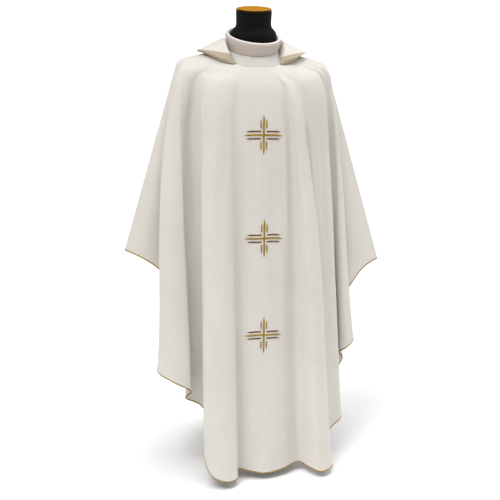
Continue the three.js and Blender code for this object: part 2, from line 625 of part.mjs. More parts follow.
function addCape() {
  const shares = Array.from({ length: CAPE_ROWS + 1 }, (unused, index) => index / CAPE_ROWS);
  const placeAt = ({ turn, rise, endTurn, reach, lift, crown, swing }, share) => {
    const bow = Math.sin(Math.PI * share);
    return {
      turn: mix(turn, endTurn, share) + swing * bow,
      distance: mix(CAPE_START, reach, share),
      lift: mix(rise, lift, share) + crown * bow,
    };
  };
  const leafLine = (row) => {
    const places = shares.map((share) => placeAt(row, share));
    const leaf = places.map(({ turn, distance, lift }) => onYoke(turn, distance, lift));
    return [onYoke(row.turn, CAPE_FOOT.out, CAPE_FOOT.lift), ...leaf];
  };
  const rollUnder = (row, forward) => {
    const under = shares.map((share) => {
      const { turn, distance } = placeAt(row, share);
      const step = forward * mix(UNDER_TURN.neck, UNDER_TURN.tip, share);
      return onYoke(turn + step, distance - 3 * share, UNDER_LIFT * share ** 5);
    });
    return [onYoke(row.turn + forward * UNDER_TURN.neck, CAPE_FOOT.out, CAPE_FOOT.lift), ...under];
  };
  const keys = ["turn", "rise", "endTurn", "reach", "lift", "crown", "swing"];
  const columns = rowsThrough(CAPE_LINES, keys);
  const last = columns.length - 1;
  const lines = [rollUnder(columns[0], -1), ...columns.map(leafLine), rollUnder(columns[last], 1)];
  const grid = lines[0].map((unused, row) => lines.map((line) => line[row]));
  addWall("pointed_collar", grid, WALL, false, IVORY_COLLAR);
}

// Dress form: body, cap, pole and base

function addTurned(name, rings, look) {
  const count = rings[0].length;
  const points = rings.flat();
  const faces = [];
  for (let r = 0; r < rings.length - 1; r += 1) {
    for (let c = 0; c < count; c += 1) {
      const next = (c + 1) % count;
      const [a, b] = [r * count + c, (r + 1) * count + c];
      const [d, e] = [(r + 1) * count + next, r * count + next];
      faces.push([a, b, d], [a, d, e]);
    }
  }
  const low = (rings.length - 1) * count;
  for (let c = 1; c < count - 1; c += 1) {
    faces.push([0, c, c + 1], [low, low + c + 1, low + c]);
  }
  addPart(name, points, faces, look);
}

function formRing({ height, width, front, back, tilt }) {
  return ringTurns().map((turn) => {
    const x = width * Math.sin(radians(turn));
    const ahead = Math.cos(radians(turn));
    const y = -ahead * (ahead >= 0 ? front : back);
    return vector(x, y, height - tilt * SHOULDER_TILT * x);
  });
}

function roundRing(radius, height) {
  return formRing({ height, width: radius, front: radius, back: radius, tilt: 0 });
}

function addForm() {
  addTurned("form_body", FORM_SECTIONS.map(formRing), BLACK_JERSEY);
  const capLow = CAP_TOP - CAP_THICKNESS;
  const capRings = [
    roundRing(CAP_RADIUS - 1.5, CAP_TOP),
    roundRing(CAP_RADIUS, CAP_TOP - 1.5),
    roundRing(CAP_RADIUS, capLow + 1.5),
    roundRing(CAP_RADIUS - 1.5, capLow),
  ];
  addTurned("form_cap", capRings, ORANGE_WOOD);
  const poleRings = [roundRing(POLE_RADIUS, FORM_BOTTOM - SEAM), roundRing(POLE_RADIUS, BASE_THICKNESS + SEAM)];
  addTurned("form_pole", poleRings, DARK_METAL);
  const baseRings = [
    roundRing(POLE_RADIUS + 14, BASE_THICKNESS),
    roundRing(BASE_RADIUS - 6, BASE_THICKNESS - 8),
    roundRing(BASE_RADIUS, BASE_THICKNESS - 14),
    roundRing(BASE_RADIUS, 0),
  ];
  addTurned("form_base", baseRings, DARK_METAL);
}

const front = addPanel("front_panel", FRONT_FOLDS, -1);
const back = addPanel("back_panel", BACK_FOLDS, 1);
addBinding("hem_binding_front", front, -1);
addBinding("hem_binding_back", back, 1);
addRollCollar();
addStand();
addCape();
const frontDepth = depthOver(front.outer);
CROSSES.forEach((place) => addCross(place, frontDepth));
addForm();

export default group;
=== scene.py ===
"""Gothic chasuble of fine ivory cloth, hanging on a limbless dress form.

The cutting sizes are in millimetres and the meshes in metres. The front faces -Y, up is +Z, the floor is Z = 0.
"""

import logging
import math
from collections.abc import Sequence
from dataclasses import dataclass, field
from enum import Enum
from typing import Any, NamedTuple

import bpy
import numpy as np
from bpy.types import Material, Node, NodeSocket, NodeTree, Object
from mathutils import Matrix, Vector, noise
from mathutils.bvhtree import BVHTree


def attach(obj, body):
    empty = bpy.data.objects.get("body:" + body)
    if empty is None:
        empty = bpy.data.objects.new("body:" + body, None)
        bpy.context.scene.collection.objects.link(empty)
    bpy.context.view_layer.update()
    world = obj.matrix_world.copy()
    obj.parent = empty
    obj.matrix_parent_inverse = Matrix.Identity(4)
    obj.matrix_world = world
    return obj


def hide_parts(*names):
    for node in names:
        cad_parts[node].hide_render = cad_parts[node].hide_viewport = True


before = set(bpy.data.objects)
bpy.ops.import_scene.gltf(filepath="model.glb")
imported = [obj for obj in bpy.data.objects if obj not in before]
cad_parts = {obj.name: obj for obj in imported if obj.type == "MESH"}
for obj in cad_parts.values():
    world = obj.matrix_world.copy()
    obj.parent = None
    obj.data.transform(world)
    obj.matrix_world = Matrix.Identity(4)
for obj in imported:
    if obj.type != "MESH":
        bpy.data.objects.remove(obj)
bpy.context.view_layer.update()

LOG = logging.getLogger("chasuble")
MM = 0.001
BODY = "root"
UV_NAME = "cloth"
# Name of the attribute that marks painted light: a painted highlight on the roll collar's rim, painted shade under
# the pointed collar's front edges.
PAINTED_LIGHT_NAME = "painted_light"
SEAM = 0.3
SWAY_LENGTH = 3.2
WRAP_START, WRAP_SWEEP = -60, 300
Colour = tuple[float, float, float]


class Fold(NamedTuple):
    """One fold of a panel: degrees round the neck, its end at the hem, its sideways swell and its columns.

    The tuck is how far it stands out below the shoulder, or lies in where it is under nought.
    """

    turn: float
    x: float
    y: float
    z: float
    bow: float
    tuck: float
    steps: int


class Crease(NamedTuple):
    """A soft trough, or a ridge where its depth is below nought, from one place on a panel to another.

    A place is a turn round the neck and a share of the way from the neckline to the hem.
    """

    turn: float
    start: float
    end_turn: float
    end: float
    width: float
    depth: float


class CapeLine(NamedTuple):
    """One line of the pointed collar's leaf, from beside the neckline to its edge on the shoulder."""

    turn: float
    rise: float
    end_turn: float
    reach: float
    lift: float
    crown: float
    swing: float
    steps: int


class Bar(NamedTuple):
    """One embroidered bar of a cross, about the cross's centre, in bright gold thread or in a darker copy of it,
    painted shade for the short level bars' weaker shine.
    """

    name: str
    x0: float
    x1: float
    z0: float
    z1: float
    bright: bool
    near_taper: float
    far_taper: float


FRONT_FOLDS = (
    Fold(-90, -396, 0, 748, 0, 0, 2),
    Fold(-88.5, -342, -22, 725, 0, 0, 2),
    Fold(-87, -285, -28, 680, -4, 0, 3),
    Fold(-85, -245, -42, 585, -8, -5, 3),
    Fold(-82.5, -270, -78, 475, -20, -2, 3),
    Fold(-80, -309, -108, 374, -28, 4, 3),
    Fold(-75, -266, -150, 350, -24, 6, 3),
    Fold(-69, -208, -150, 312, -16, 3, 2),
    Fold(-64, -220, -120, 276, -12, -8, 2),
    Fold(-59, -165, -108, 236, -10, -22, 2),
    Fold(-53, -135, -132, 172, -8, -21, 3),
    Fold(-47, -172, -190, 114, -8, -3, 3),
    Fold(-40, -154, -238, 50, -4, 8, 2),
    Fold(-33, -110, -257, 34, 0, 10, 2),
    Fold(-26, -70, -232, 28, 0, 4, 2),
    Fold(-19.5, -62, -188, 36, 0, -7, 3),
    Fold(-12, -26, -198, 34, 0, -5, 3),
    Fold(3, 24, -214, 28, 0, -2, 4),
    Fold(15, 94, -200, 32, 3, -5, 3),
    Fold(21, 152, -172, 34, 8, -11, 2),
    Fold(23, 178, -206, 31, 12, -3, 2),
    Fold(25, 211, -238, 28, 16, 6, 2),
    Fold(27.5, 257, -206, 30, 20, 7, 3),
    Fold(36, 240, -150, 75, 8, -13, 3),
    Fold(47, 272, -122, 122, 0, -1, 3),
    Fold(60, 313, -100, 152, 2, 7, 3),
    Fold(66, 284, -48, 255, -8, -12, 3),
    Fold(70.5, 324, -48, 345, -16, -2, 3),
    Fold(74, 304, -68, 374, 2, -5, 3),
    Fold(77.5, 322, -93, 402, 10, 5, 3),
    Fold(81, 350, -70, 423, 8, 5, 3),
    Fold(84, 306, -34, 525, 4, -8, 3),
    Fold(86.5, 343, -38, 605, 2, 0, 2),
    Fold(88.5, 386, -28, 657, 0, 0, 2),
    Fold(90, 440, 0, 675, 0, 0, 0),
)

BACK_FOLDS = (
    Fold(90, 440, 0, 675, 0, 0, 2),
    Fold(94, 382, 30, 640, 0, -3, 2),
    Fold(99, 322, 44, 545, 2, -12, 3),
    Fold(104, 352, 104, 420, 8, 6, 3),
    Fold(111, 290, 98, 290, 6, -12, 2),
    Fold(119, 285, 165, 175, 4, 6, 3),
    Fold(129, 218, 150, 95, 0, -14, 2),
    Fold(140, 192, 222, 45, 0, 8, 3),
    Fold(152, 128, 186, 30, 0, -12, 2),
    Fold(163, 82, 232, 20, 0, 6, 2),
    Fold(178, 16, 196, 24, 0, -9, 3),
    Fold(193, -42, 232, 22, 0, 6, 2),
    Fold(202, -72, 212, 36, 0, 5, 3),
    Fold(210, -60, 164, 92, 0, -9, 2),
    Fold(218, -96, 146, 154, 0, -12, 2),
    Fold(227, -140, 176, 184, 0, 6, 2),
    Fold(236, -180, 150, 236, 0, 4, 2),
    Fold(245, -204, 104, 310, -2, -12, 2),
    Fold(252, -240, 92, 405, -4, 6, 3),
    Fold(258, -224, 48, 520, -4, -8, 2),
    Fold(263, -250, 50, 640, -2, -6, 3),
    Fold(267, -320, 26, 724, 0, 0, 2),
    Fold(270, -396, 0, 748, 0, 0, 0),
)

FRONT_CREASES = (
    Crease(-62, 0.16, -58, 0.55, 9, 5),
    Crease(-72, 0.14, -70, 0.42, 8, -4),
    Crease(-36, 0.17, -38, 0.5, 12, -5),
    Crease(-28, 0.12, -30, 0.3, 8, 3),
    Crease(-50, 0.13, -44, 0.2, 7, -4),
    Crease(-14, 0.16, -16, 0.62, 14, 4),
    Crease(-3, 0.22, -5, 0.6, 18, -3),
    Crease(9, 0.2, 10, 0.7, 16, 3.5),
    Crease(17, 0.12, 18, 0.5, 10, -4),
    Crease(30, 0.13, 28, 0.45, 9, 4),
    Crease(40, 0.12, 42, 0.5, 10, -4),
    Crease(52, 0.12, 51, 0.6, 12, 4),
    Crease(63, 0.14, 64, 0.5, 8, -3.5),
    Crease(76, 0.14, 75, 0.6, 8, 3),
    Crease(2, 0.7, 5, 1.05, 20, 3),
    Crease(-33, 0.5, -34, 1.05, 16, 3),
    Crease(-10, 0.55, -9, 1.05, 15, -3),
)

BACK_CREASES = (
    Crease(108, 0.14, 107, 0.6, 9, 4),
    Crease(124, 0.12, 122, 0.5, 12, -4),
    Crease(136, 0.1, 134, 0.55, 10, 4),
    Crease(147, 0.12, 146, 0.7, 14, -4),
    Crease(158, 0.1, 157, 0.5, 12, 4),
    Crease(170, 0.12, 171, 0.65, 15, -3),
    Crease(186, 0.1, 185, 0.6, 14, 4),
    Crease(198, 0.12, 197, 0.75, 12, -3),
    Crease(214, 0.11, 213, 0.5, 12, 4),
    Crease(223, 0.14, 222, 0.7, 11, -3.5),
    Crease(240, 0.12, 241, 0.55, 12, 4),
    Crease(249, 0.14, 249, 0.6, 9, -3),
    Crease(175, 0.6, 177, 1.05, 20, 3),
    Crease(206, 0.5, 206, 1.05, 14, 3),
)

# Radius and depth below the rim, from the inner leaf of the roll over its crest to the outer edge
ROLL_CREST = 78
ROLL_INSIDE = ((73.2, 27), (73.2, 10), (74.8, 2.5), (78.2, 0))
ROLL_OUTSIDE = ((82, 1.5), (84, 6), (83.2, 14), (81.2, 23), (78.8, 31), (77, 37))
ROLL_SECTION = np.array(ROLL_INSIDE + ROLL_OUTSIDE, float)

# The stand's seam and creases: turn, width in degrees and depth
STAND_CREASES = ((-13, 1.6, 0.9), (27, 3.4, 0.8), (33, 3, -0.5), (-38, 4, 0.6))

CAPE_LINES = (
    CapeLine(55, 6, 88, 88, 13.5, 10, -3, 2),
    CapeLine(73, 21, 95, 84, 12.5, 4, 0, 3),
    CapeLine(92, 28, 106, 82, 9, 2, 0, 3),
    CapeLine(128, 24, 140, 78, 5, 2, 0, 4),
    CapeLine(180, 21, 180, 74, 4, 2, 0, 4),
    CapeLine(232, 24, 220, 78, 5, 2, 0, 3),
    CapeLine(268, 28, 252, 86, 9, 2, 0, 3),
    CapeLine(288, 19, 262, 89, 12.5, 3, 0, 2),
    CapeLine(307, 3, 268, 93, 14, 7, 3, 0),
)

BARS = (
    Bar("upright", 0, 0, -59, 59, True, 12, 12),
    Bar("level", -58, 58, 0, 0, True, 12, 12),
    Bar("top_left", -8.5, -8.5, 21, 46, True, 0, 7),
    Bar("top_right", 8.5, 8.5, 21, 46, True, 0, 7),
    Bar("bottom_left", -8.5, -8.5, -46, -21, True, 7, 0),
    Bar("bottom_right", 8.5, 8.5, -46, -21, True, 7, 0),
    Bar("left_high", -51, -9, 11, 11, False, 8, 0),
    Bar("left_low", -51, -9, -11, -11, False, 8, 0),
    Bar("right_high", 9, 51, 11, 11, False, 0, 8),
    Bar("right_low", 9, 51, -11, -11, False, 0, 8),
)


# Curves and grids


def curve_through(points: np.ndarray, places: np.ndarray) -> np.ndarray:
    """Read a centripetal Catmull-Rom curve.

    Args:
        points: the knots, one a row.
        places: where to read, counted in knots from nought.

    Returns:
        One point a place.
    """
    index = np.minimum(places.astype(int), len(points) - 2)
    share = (places - index)[:, None]
    padded = np.vstack([2 * points[0] - points[1], points, 2 * points[-1] - points[-2]])
    before, start, end, after = (padded[index + step] for step in range(4))

    def gap(a: np.ndarray, b: np.ndarray) -> np.ndarray:
        """Square root of the distance between two sets of points."""
        return np.maximum(np.sum((b - a) ** 2, axis=1) ** 0.25, 1e-4)[:, None]

    first, middle, last = gap(before, start), gap(start, end), gap(end, after)
    leave = ((start - before) / first - (end - before) / (first + middle) + (end - start) / middle) * middle
    arrive = ((end - start) / middle - (after - start) / (middle + last) + (after - end) / last) * middle
    square = 3 * (end - start) - 2 * leave - arrive
    cube = 2 * (start - end) + leave + arrive
    return start + share * (leave + share * (square + share * cube))


def places_of(steps: Sequence[int], refine: int) -> np.ndarray:
    """Places between the rows of a table, each row opening its own steps.

    Args:
        steps: the columns that each row opens.
        refine: how many times finer than the table's own steps.

    Returns:
        The places, counted in rows from nought.
    """
    parts = [count * refine for count in steps[:-1]]
    places = [row + step / part for row, part in enumerate(parts) for step in range(part)]
    return np.array([*places, len(steps) - 1.0])


def unit(vectors: np.ndarray) -> np.ndarray:
    """Vectors of length one."""
    return vectors / np.maximum(np.linalg.norm(vectors, axis=-1, keepdims=True), 1e-9)


def mix(a: Any, b: Any, share: Any) -> Any:
    """A value between two others."""
    return a + (b - a) * share


def smooth_step(value: Any, low: float, high: float) -> Any:
    """0 below low, 1 above high, and soft between."""
    share = np.clip((value - low) / (high - low), 0, 1)
    return share * share * (3 - 2 * share)


def grid_normals(grid: np.ndarray, closed: bool) -> np.ndarray:
    """Outward normals of a grid whose rows run down and columns run round.

    Args:
        grid: rows by columns of points.
        closed: whether the last column joins the first.

    Returns:
        A unit normal a point.
    """
    whole = np.concatenate([grid, grid[:, :1]], axis=1) if closed else grid
    falling = whole[1:, 1:] - whole[:-1, :-1]
    rising = whole[:-1, 1:] - whole[1:, :-1]
    cells = unit(np.cross(falling, rising))
    total = np.zeros_like(whole)
    for down in (0, 1):
        for along in (0, 1):
            total[down : down + cells.shape[0], along : along + cells.shape[1]] += cells
    if closed:
        total[:, 0] += total[:, -1]
        total = total[:, :-1]
    return unit(total)


def lengths_along(grid: np.ndarray, axis: int) -> np.ndarray:
    """Distance run along an axis of a grid of points."""
    steps = np.linalg.norm(np.diff(grid, axis=axis), axis=2)
    start = np.zeros_like(np.take(grid[..., 0], [0], axis=axis))
    return np.cumsum(np.concatenate([start, steps], axis=axis), axis=axis)


def flat_of(grid: np.ndarray) -> np.ndarray:
    """Place of each point of a grid on its flat cloth, in metres."""
    return np.stack([lengths_along(grid, 1), lengths_along(grid, 0)], axis=-1) * MM


def add_object(name: str, data: Any) -> Object:
    """An object at the origin, linked to the scene."""
    made = bpy.data.objects.new(name, data)
    bpy.context.scene.collection.objects.link(made)
    return made


def new_object(name: str, points: np.ndarray, faces: Sequence[Sequence[int]], sharp: float = 50) -> Object:
    """A smooth mesh object.

    Args:
        name: the piece's name.
        points: its vertices in millimetres.
        faces: its faces.
        sharp: degrees over which an edge stays sharp.

    Returns:
        The object.
    """
    mesh = bpy.data.meshes.new(name)
    mesh.from_pydata((points.reshape(-1, 3) * MM).tolist(), [], faces)
    mesh.validate()
    mesh.shade_smooth()
    mesh.set_sharp_from_angle(angle=math.radians(sharp))
    return add_object(name, mesh)


def lay_flat(piece: Object, flat: np.ndarray) -> None:
    """Give each vertex of a piece its place on the flat cloth, in metres."""
    layer = piece.data.uv_layers.new(name=UV_NAME)
    corner = np.zeros(len(piece.data.loops), np.int32)
    piece.data.loops.foreach_get("vertex_index", corner)
    layer.data.foreach_set("uv", flat[corner].ravel())


def quads(rows: int, columns: int, closed: bool) -> np.ndarray:
    """Faces of a grid, outward for rows that run down and columns that run round."""
    last = columns if closed else columns - 1
    row, column = np.meshgrid(np.arange(rows - 1), np.arange(last), indexing="ij")
    beside = (column + 1) % columns
    upper, lower = row * columns, (row + 1) * columns
    return np.stack((upper + column, lower + column, lower + beside, upper + beside), axis=-1).reshape(-1, 4)


def add_shell(
    name: str, grid: np.ndarray, thickness: float, closed: bool, flat: np.ndarray | None = None
) -> Object:
    """A closed wall of cloth on a grid of its middle points.

    Args:
        name: the piece's name.
        grid: rows by columns of points in millimetres.
        thickness: of the wall.
        closed: whether the columns go all round.
        flat: place of each point on the flat cloth, in metres, or none for its own lengths.

    Returns:
        The piece.
    """
    normals = grid_normals(grid, closed)
    rows, columns = grid.shape[:2]
    walls = [grid + normals * thickness / 2, grid - normals * thickness / 2]
    count = rows * columns
    face = quads(rows, columns, closed)
    loops = [face, face[:, ::-1] + count]
    ring = np.arange(columns)
    side = np.arange(rows) * columns
    edges = [(ring, 1), ((rows - 1) * columns + ring, -1)]
    edges += [] if closed else [(side, -1), (side + columns - 1, 1)]
    for edge, sense in edges:
        near, far = (edge, np.roll(edge, -1)) if closed else (edge[:-1], edge[1:])
        loops.append(np.stack([near, far, far + count, near + count], axis=1)[:, ::sense])
    piece = new_object(name, np.concatenate(walls), np.concatenate(loops).tolist())
    flat = flat_of(grid) if flat is None else flat
    lay_flat(piece, np.tile(flat.reshape(-1, 2), (2, 1)))
    return piece


def set_painted_light(piece: Object, reach: np.ndarray) -> None:
    """Say on a shell's outer and inner points how far each lies inside its band of painted light, in millimetres.
    """
    layer = piece.data.attributes.new(PAINTED_LIGHT_NAME, "FLOAT", "POINT")
    layer.data.foreach_set("value", np.tile(reach.ravel(), 2))


def sway(points: np.ndarray, size: float, seed: float) -> np.ndarray:
    """Slow unevenness of hanging cloth, from -1 to 1.

    Args:
        points: in millimetres.
        size: of one swell, in millimetres.
        seed: tells one cloth from another.

    Returns:
        One value a point.
    """
    places = points.reshape(-1, 3) / np.array([size, size, size * SWAY_LENGTH]) + seed
    return np.array([noise.noise(Vector(place)) for place in places]).reshape(points.shape[:-1])


# Shader nodes


def add_node(tree: NodeTree, kind: str, settings: dict[str, Any], values: dict[Any, Any]) -> Node:
    """A node with its settings, and with values or links in its sockets.

    Args:
        tree: where it goes.
        kind: the node's type.
        settings: its own properties.
        values: a constant or another node's output for each socket.

    Returns:
        The node.
    """
    made = tree.nodes.new(kind)
    for key, value in settings.items():
        setattr(made, key, value)
    for key, value in values.items():
        if isinstance(value, NodeSocket):
            tree.links.new(value, made.inputs[key])
        else:
            made.inputs[key].default_value = value
    return made


def add_math(tree: NodeTree, operation: str, *values: Any) -> NodeSocket:
    """The result of a Math node."""
    return add_node(tree, "ShaderNodeMath", {"operation": operation}, dict(enumerate(values))).outputs[0]


def add_ramp(tree: NodeTree, value: Any, low: Any, high: Any, to: tuple[float, float]) -> Any:
    """A value's range turned into another, held at its ends."""
    sockets = {"Value": value, "From Min": low, "From Max": high, "To Min": to[0], "To Max": to[1]}
    return add_node(tree, "ShaderNodeMapRange", {"clamp": True}, sockets).outputs[0]


def add_colours(tree: NodeTree, share: Any, first: Any, second: Any) -> NodeSocket:
    """A colour between two colours."""
    return add_node(tree, "ShaderNodeMix", {"data_type": "RGBA"}, {0: share, 6: first, 7: second}).outputs[2]


def rgba(colour: Colour) -> tuple[float, float, float, float]:
    """A screen colour of 0 to 255 as a linear one."""
    parts = [part / 255 for part in colour]
    linear = [part / 12.92 if part <= 0.04045 else ((part + 0.055) / 1.055) ** 2.4 for part in parts]
    return (*linear, 1.0)


def new_group(name: str, inputs: dict[str, float], outputs: Sequence[str]) -> NodeTree:
    """A shader group with named number sockets."""
    group = bpy.data.node_groups.new(name, "ShaderNodeTree")
    for label, value in inputs.items():
        group.interface.new_socket(label, in_out="INPUT", socket_type="NodeSocketFloat").default_value = value
    for label in outputs:
        group.interface.new_socket(label, in_out="OUTPUT", socket_type="NodeSocketFloat")
    return group


def weave_group() -> NodeTree:
    """Plain weave with slubs, read from the cloth's own flat map."""
    group = new_group("slubbed_weave", {"Threads": 1400.0, "Slub": 1.0}, ("Height", "Fleck"))
    given = group.nodes.new("NodeGroupInput")
    flat = add_node(group, "ShaderNodeUVMap", {"uv_map": UV_NAME}, {}).outputs[0]
    apart = add_node(group, "ShaderNodeSeparateXYZ", {}, {0: flat})
    waves = [
        add_math(group, "SINE", add_math(group, "MULTIPLY", apart.outputs[axis], given.outputs["Threads"]))
        for axis in (0, 1)
    ]
    weave = add_math(group, "MULTIPLY", *waves)
    streaks = []
    for scale in ((26.0, 620.0, 1.0), (620.0, 26.0, 1.0)):
        times = {"operation": "MULTIPLY"}
        stretched = add_node(group, "ShaderNodeVectorMath", times, {0: flat, 1: scale}).outputs[0]
        values = {"Vector": stretched, "Scale": 1.0, "Detail": 3.0, "Roughness": 0.6}
        streak = add_node(group, "ShaderNodeTexNoise", {}, values).outputs[0]
        streaks.append(add_ramp(group, streak, 0.38, 0.68, (0.0, 1.0)))
    fleck = add_math(group, "MULTIPLY", add_math(group, "ADD", *streaks), 0.5)
    raised = add_math(group, "MULTIPLY", fleck, given.outputs["Slub"])
    height = add_math(group, "ADD", add_math(group, "MULTIPLY", weave, 0.35), raised)
    out = group.nodes.new("NodeGroupOutput")
    group.links.new(height, out.inputs["Height"])
    group.links.new(fleck, out.inputs["Fleck"])
    return group


def mottle_group() -> NodeTree:
    """Broad unevenness of tone, as handling and dust leave it, in object space."""
    group = new_group("broad_mottle", {"Scale": 8.0, "Low": 0.4, "High": 0.62}, ("Mask",))
    given = group.nodes.new("NodeGroupInput")
    place = add_node(group, "ShaderNodeTexCoord", {}, {}).outputs["Object"]
    values = {"Vector": place, "Scale": given.outputs["Scale"], "Detail": 4.0, "Roughness": 0.55}
    cloud = add_node(group, "ShaderNodeTexNoise", {}, values).outputs[0]
    mask = add_ramp(group, cloud, given.outputs["Low"], given.outputs["High"], (0.0, 1.0))
    out = group.nodes.new("NodeGroupOutput")
    group.links.new(mask, out.inputs["Mask"])
    return group


@dataclass
class ShaderGroups:
    """The groups that several finishes share."""

    weave: NodeTree = field(default_factory=weave_group)
    mottle: NodeTree = field(default_factory=mottle_group)


class Surface:
    """A material while its colour, roughness and bump are being joined to its Principled shader."""

    def __init__(self, name: str, shine: dict[str, Any], groups: ShaderGroups | None = None) -> None:
        """Start the material, with its constant sockets set."""
        self.material = bpy.data.materials.new(name)
        self.material.use_nodes = True
        self.tree = self.material.node_tree
        self.shader = self.tree.nodes["Principled BSDF"]
        self.groups = groups
        for key, value in shine.items():
            self.shader.inputs[key].default_value = value

    def weave(self, threads: float, slub: float) -> tuple[NodeSocket, NodeSocket]:
        """The height and the flecks of a weave with so many threads and so strong a slub."""
        values = {"Threads": threads, "Slub": slub}
        made = add_node(self.tree, "ShaderNodeGroup", {"node_tree": self.groups.weave}, values)
        return made.outputs["Height"], made.outputs["Fleck"]

    def mottle(self, scale: float, low: float, high: float) -> NodeSocket:
        """A mask of broad unevenness, 0 below low and 1 above high."""
        values = {"Scale": scale, "Low": low, "High": high}
        return add_node(self.tree, "ShaderNodeGroup", {"node_tree": self.groups.mottle}, values).outputs[0]

    def tone(self, *parts: tuple[NodeSocket, float]) -> NodeSocket:
        """The sum of one or two masks, each with its weight."""
        weighed = [add_math(self.tree, "MULTIPLY", *part) for part in parts]
        return add_math(self.tree, "ADD", *weighed) if len(parts) > 1 else weighed[0]

    def colours(self, tone: Any, first: Colour, second: Colour) -> NodeSocket:
        """A colour between two, by a tone from 0 to 1."""
        return add_colours(self.tree, tone, rgba(first), rgba(second))

    def dressed(
        self, colour: Any, worn: Any, roughness: tuple[float, float], height: Any, depth: float, strength: float
    ) -> Material:
        """Join what changes over the surface.

        Args:
            colour: the base colour.
            worn: a mask from 0 to 1.
            roughness: at either end of the mask.
            height: of the bump.
            depth: of the bump, in metres.
            strength: of the bump.

        Returns:
            The material.
        """
        values = {"Height": height, "Distance": depth, "Strength": strength}
        bump = add_node(self.tree, "ShaderNodeBump", {}, values)
        rough = add_ramp(self.tree, worn, 0.0, 1.0, roughness)
        for key, value in (("Base Color", colour), ("Roughness", rough), ("Normal", bump.outputs[0])):
            self.tree.links.new(value, self.shader.inputs[key])
        return self.material


@dataclass(frozen=True)
class ClothFinish:
    """Fine woven cloth with slubs and a soft sheen, and, where a piece marks it, a colour of painted light:
    brighter as a painted highlight, darker as painted shade.
    """

    name: str
    light: Colour
    deep: Colour
    threads: float = 7600.0
    slub: float = 0.7
    roughness: tuple[float, float] = (0.73, 0.85)
    sheen: float = 0.3
    # Colour of painted light: brighter for a painted highlight, darker for painted shade.
    painted_light: Colour | None = None
    painted_light_blur: float = 0.5

    def make(self, groups: ShaderGroups) -> Material:
        """The material, with the painted light colour where a piece's painted light attribute is over 0."""
        shine = {"Sheen Weight": self.sheen, "Sheen Roughness": 0.45, "Specular IOR Level": 0.25}
        surface = Surface(self.name, shine, groups)
        height, fleck = surface.weave(self.threads, self.slub)
        cloud = surface.mottle(5.0, 0.35, 0.7)
        colour = surface.colours(surface.tone((cloud, 0.45), (fleck, 0.5)), self.light, self.deep)
        # Blend in the painted highlight or painted shade where the piece's attribute marks it.
        if self.painted_light:
            tree = surface.tree
            reach = add_node(tree, "ShaderNodeAttribute", {"attribute_name": PAINTED_LIGHT_NAME}, {}).outputs["Fac"]
            painted_light_mask = add_ramp(tree, reach, -self.painted_light_blur, self.painted_light_blur, (0.0, 1.0))
            colour = add_colours(tree, painted_light_mask, colour, rgba(self.painted_light))
        return surface.dressed(colour, fleck, self.roughness, height, 0.0003, 0.5)


@dataclass(frozen=True)
class ThreadFinish:
    """Metallic sewing thread, brighter and darker from strand to strand."""

    name: str
    bright: Colour
    dark: Colour
    metal: float
    roughness: tuple[float, float] = (0.5, 0.3)

    def make(self, groups: ShaderGroups) -> Material:
        """The material."""
        surface = Surface(self.name, {"Metallic": self.metal, "Specular IOR Level": 0.5}, groups)
        strand, stretch = surface.mottle(900.0, 0.35, 0.65), surface.mottle(60.0, 0.35, 0.65)
        colour = surface.colours(surface.tone((strand, 0.6), (stretch, 0.4)), self.dark, self.bright)
        return surface.dressed(colour, strand, self.roughness, strand, 0.0002, 0.4)


@dataclass(frozen=True)
class JerseyFinish:
    """Close black knitted cover with fine wales and a little lint."""

    name: str = "black_jersey_cover"
    dark: Colour = (9, 8, 7)
    lint: Colour = (20, 18, 16)
    roughness: tuple[float, float] = (0.82, 0.95)

    def make(self, groups: ShaderGroups) -> Material:
        """The material."""
        shine = {"Sheen Weight": 0.02, "Sheen Roughness": 0.6, "Specular IOR Level": 0.12}
        surface = Surface(self.name, shine, groups)
        height, fleck = surface.weave(5200.0, 0.25)
        colour = surface.colours(surface.tone((surface.mottle(40.0, 0.5, 0.8), 0.5)), self.dark, self.lint)
        return surface.dressed(colour, fleck, self.roughness, height, 0.0004, 0.6)


@dataclass(frozen=True)
class WoodFinish:
    """Turned and varnished wood with growth rings and fine pores."""

    name: str = "varnished_orange_wood"
    early: Colour = (200, 142, 2)
    late: Colour = (158, 98, 2)
    heart: tuple[float, float, float] = (0.02, 0.09, 0.0)
    roughness: tuple[float, float] = (0.32, 0.45)

    def make(self, groups: ShaderGroups) -> Material:
        """The material."""
        shine = {"Coat Weight": 0.04, "Coat Roughness": 0.3, "Specular IOR Level": 0.12}
        surface = Surface(self.name, shine, groups)
        place = add_node(surface.tree, "ShaderNodeTexCoord", {}, {}).outputs["Object"]
        values = {"Vector": place, "Location": self.heart, "Scale": (1.0, 1.0, 0.25)}
        moved = add_node(surface.tree, "ShaderNodeMapping", {}, values).outputs[0]
        rings = {"Vector": moved, "Scale": 60.0, "Distortion": 2.2, "Detail": 3.0, "Detail Scale": 1.4}
        kind = {"wave_type": "RINGS", "rings_direction": "Z"}
        ring = add_node(surface.tree, "ShaderNodeTexWave", kind, rings).outputs[1]
        pores = surface.mottle(420.0, 0.45, 0.7)
        tone = surface.tone((ring, 0.6), (pores, 0.25))
        colour = surface.colours(tone, self.early, self.late)
        return surface.dressed(colour, pores, self.roughness, tone, 0.0002, 0.25)


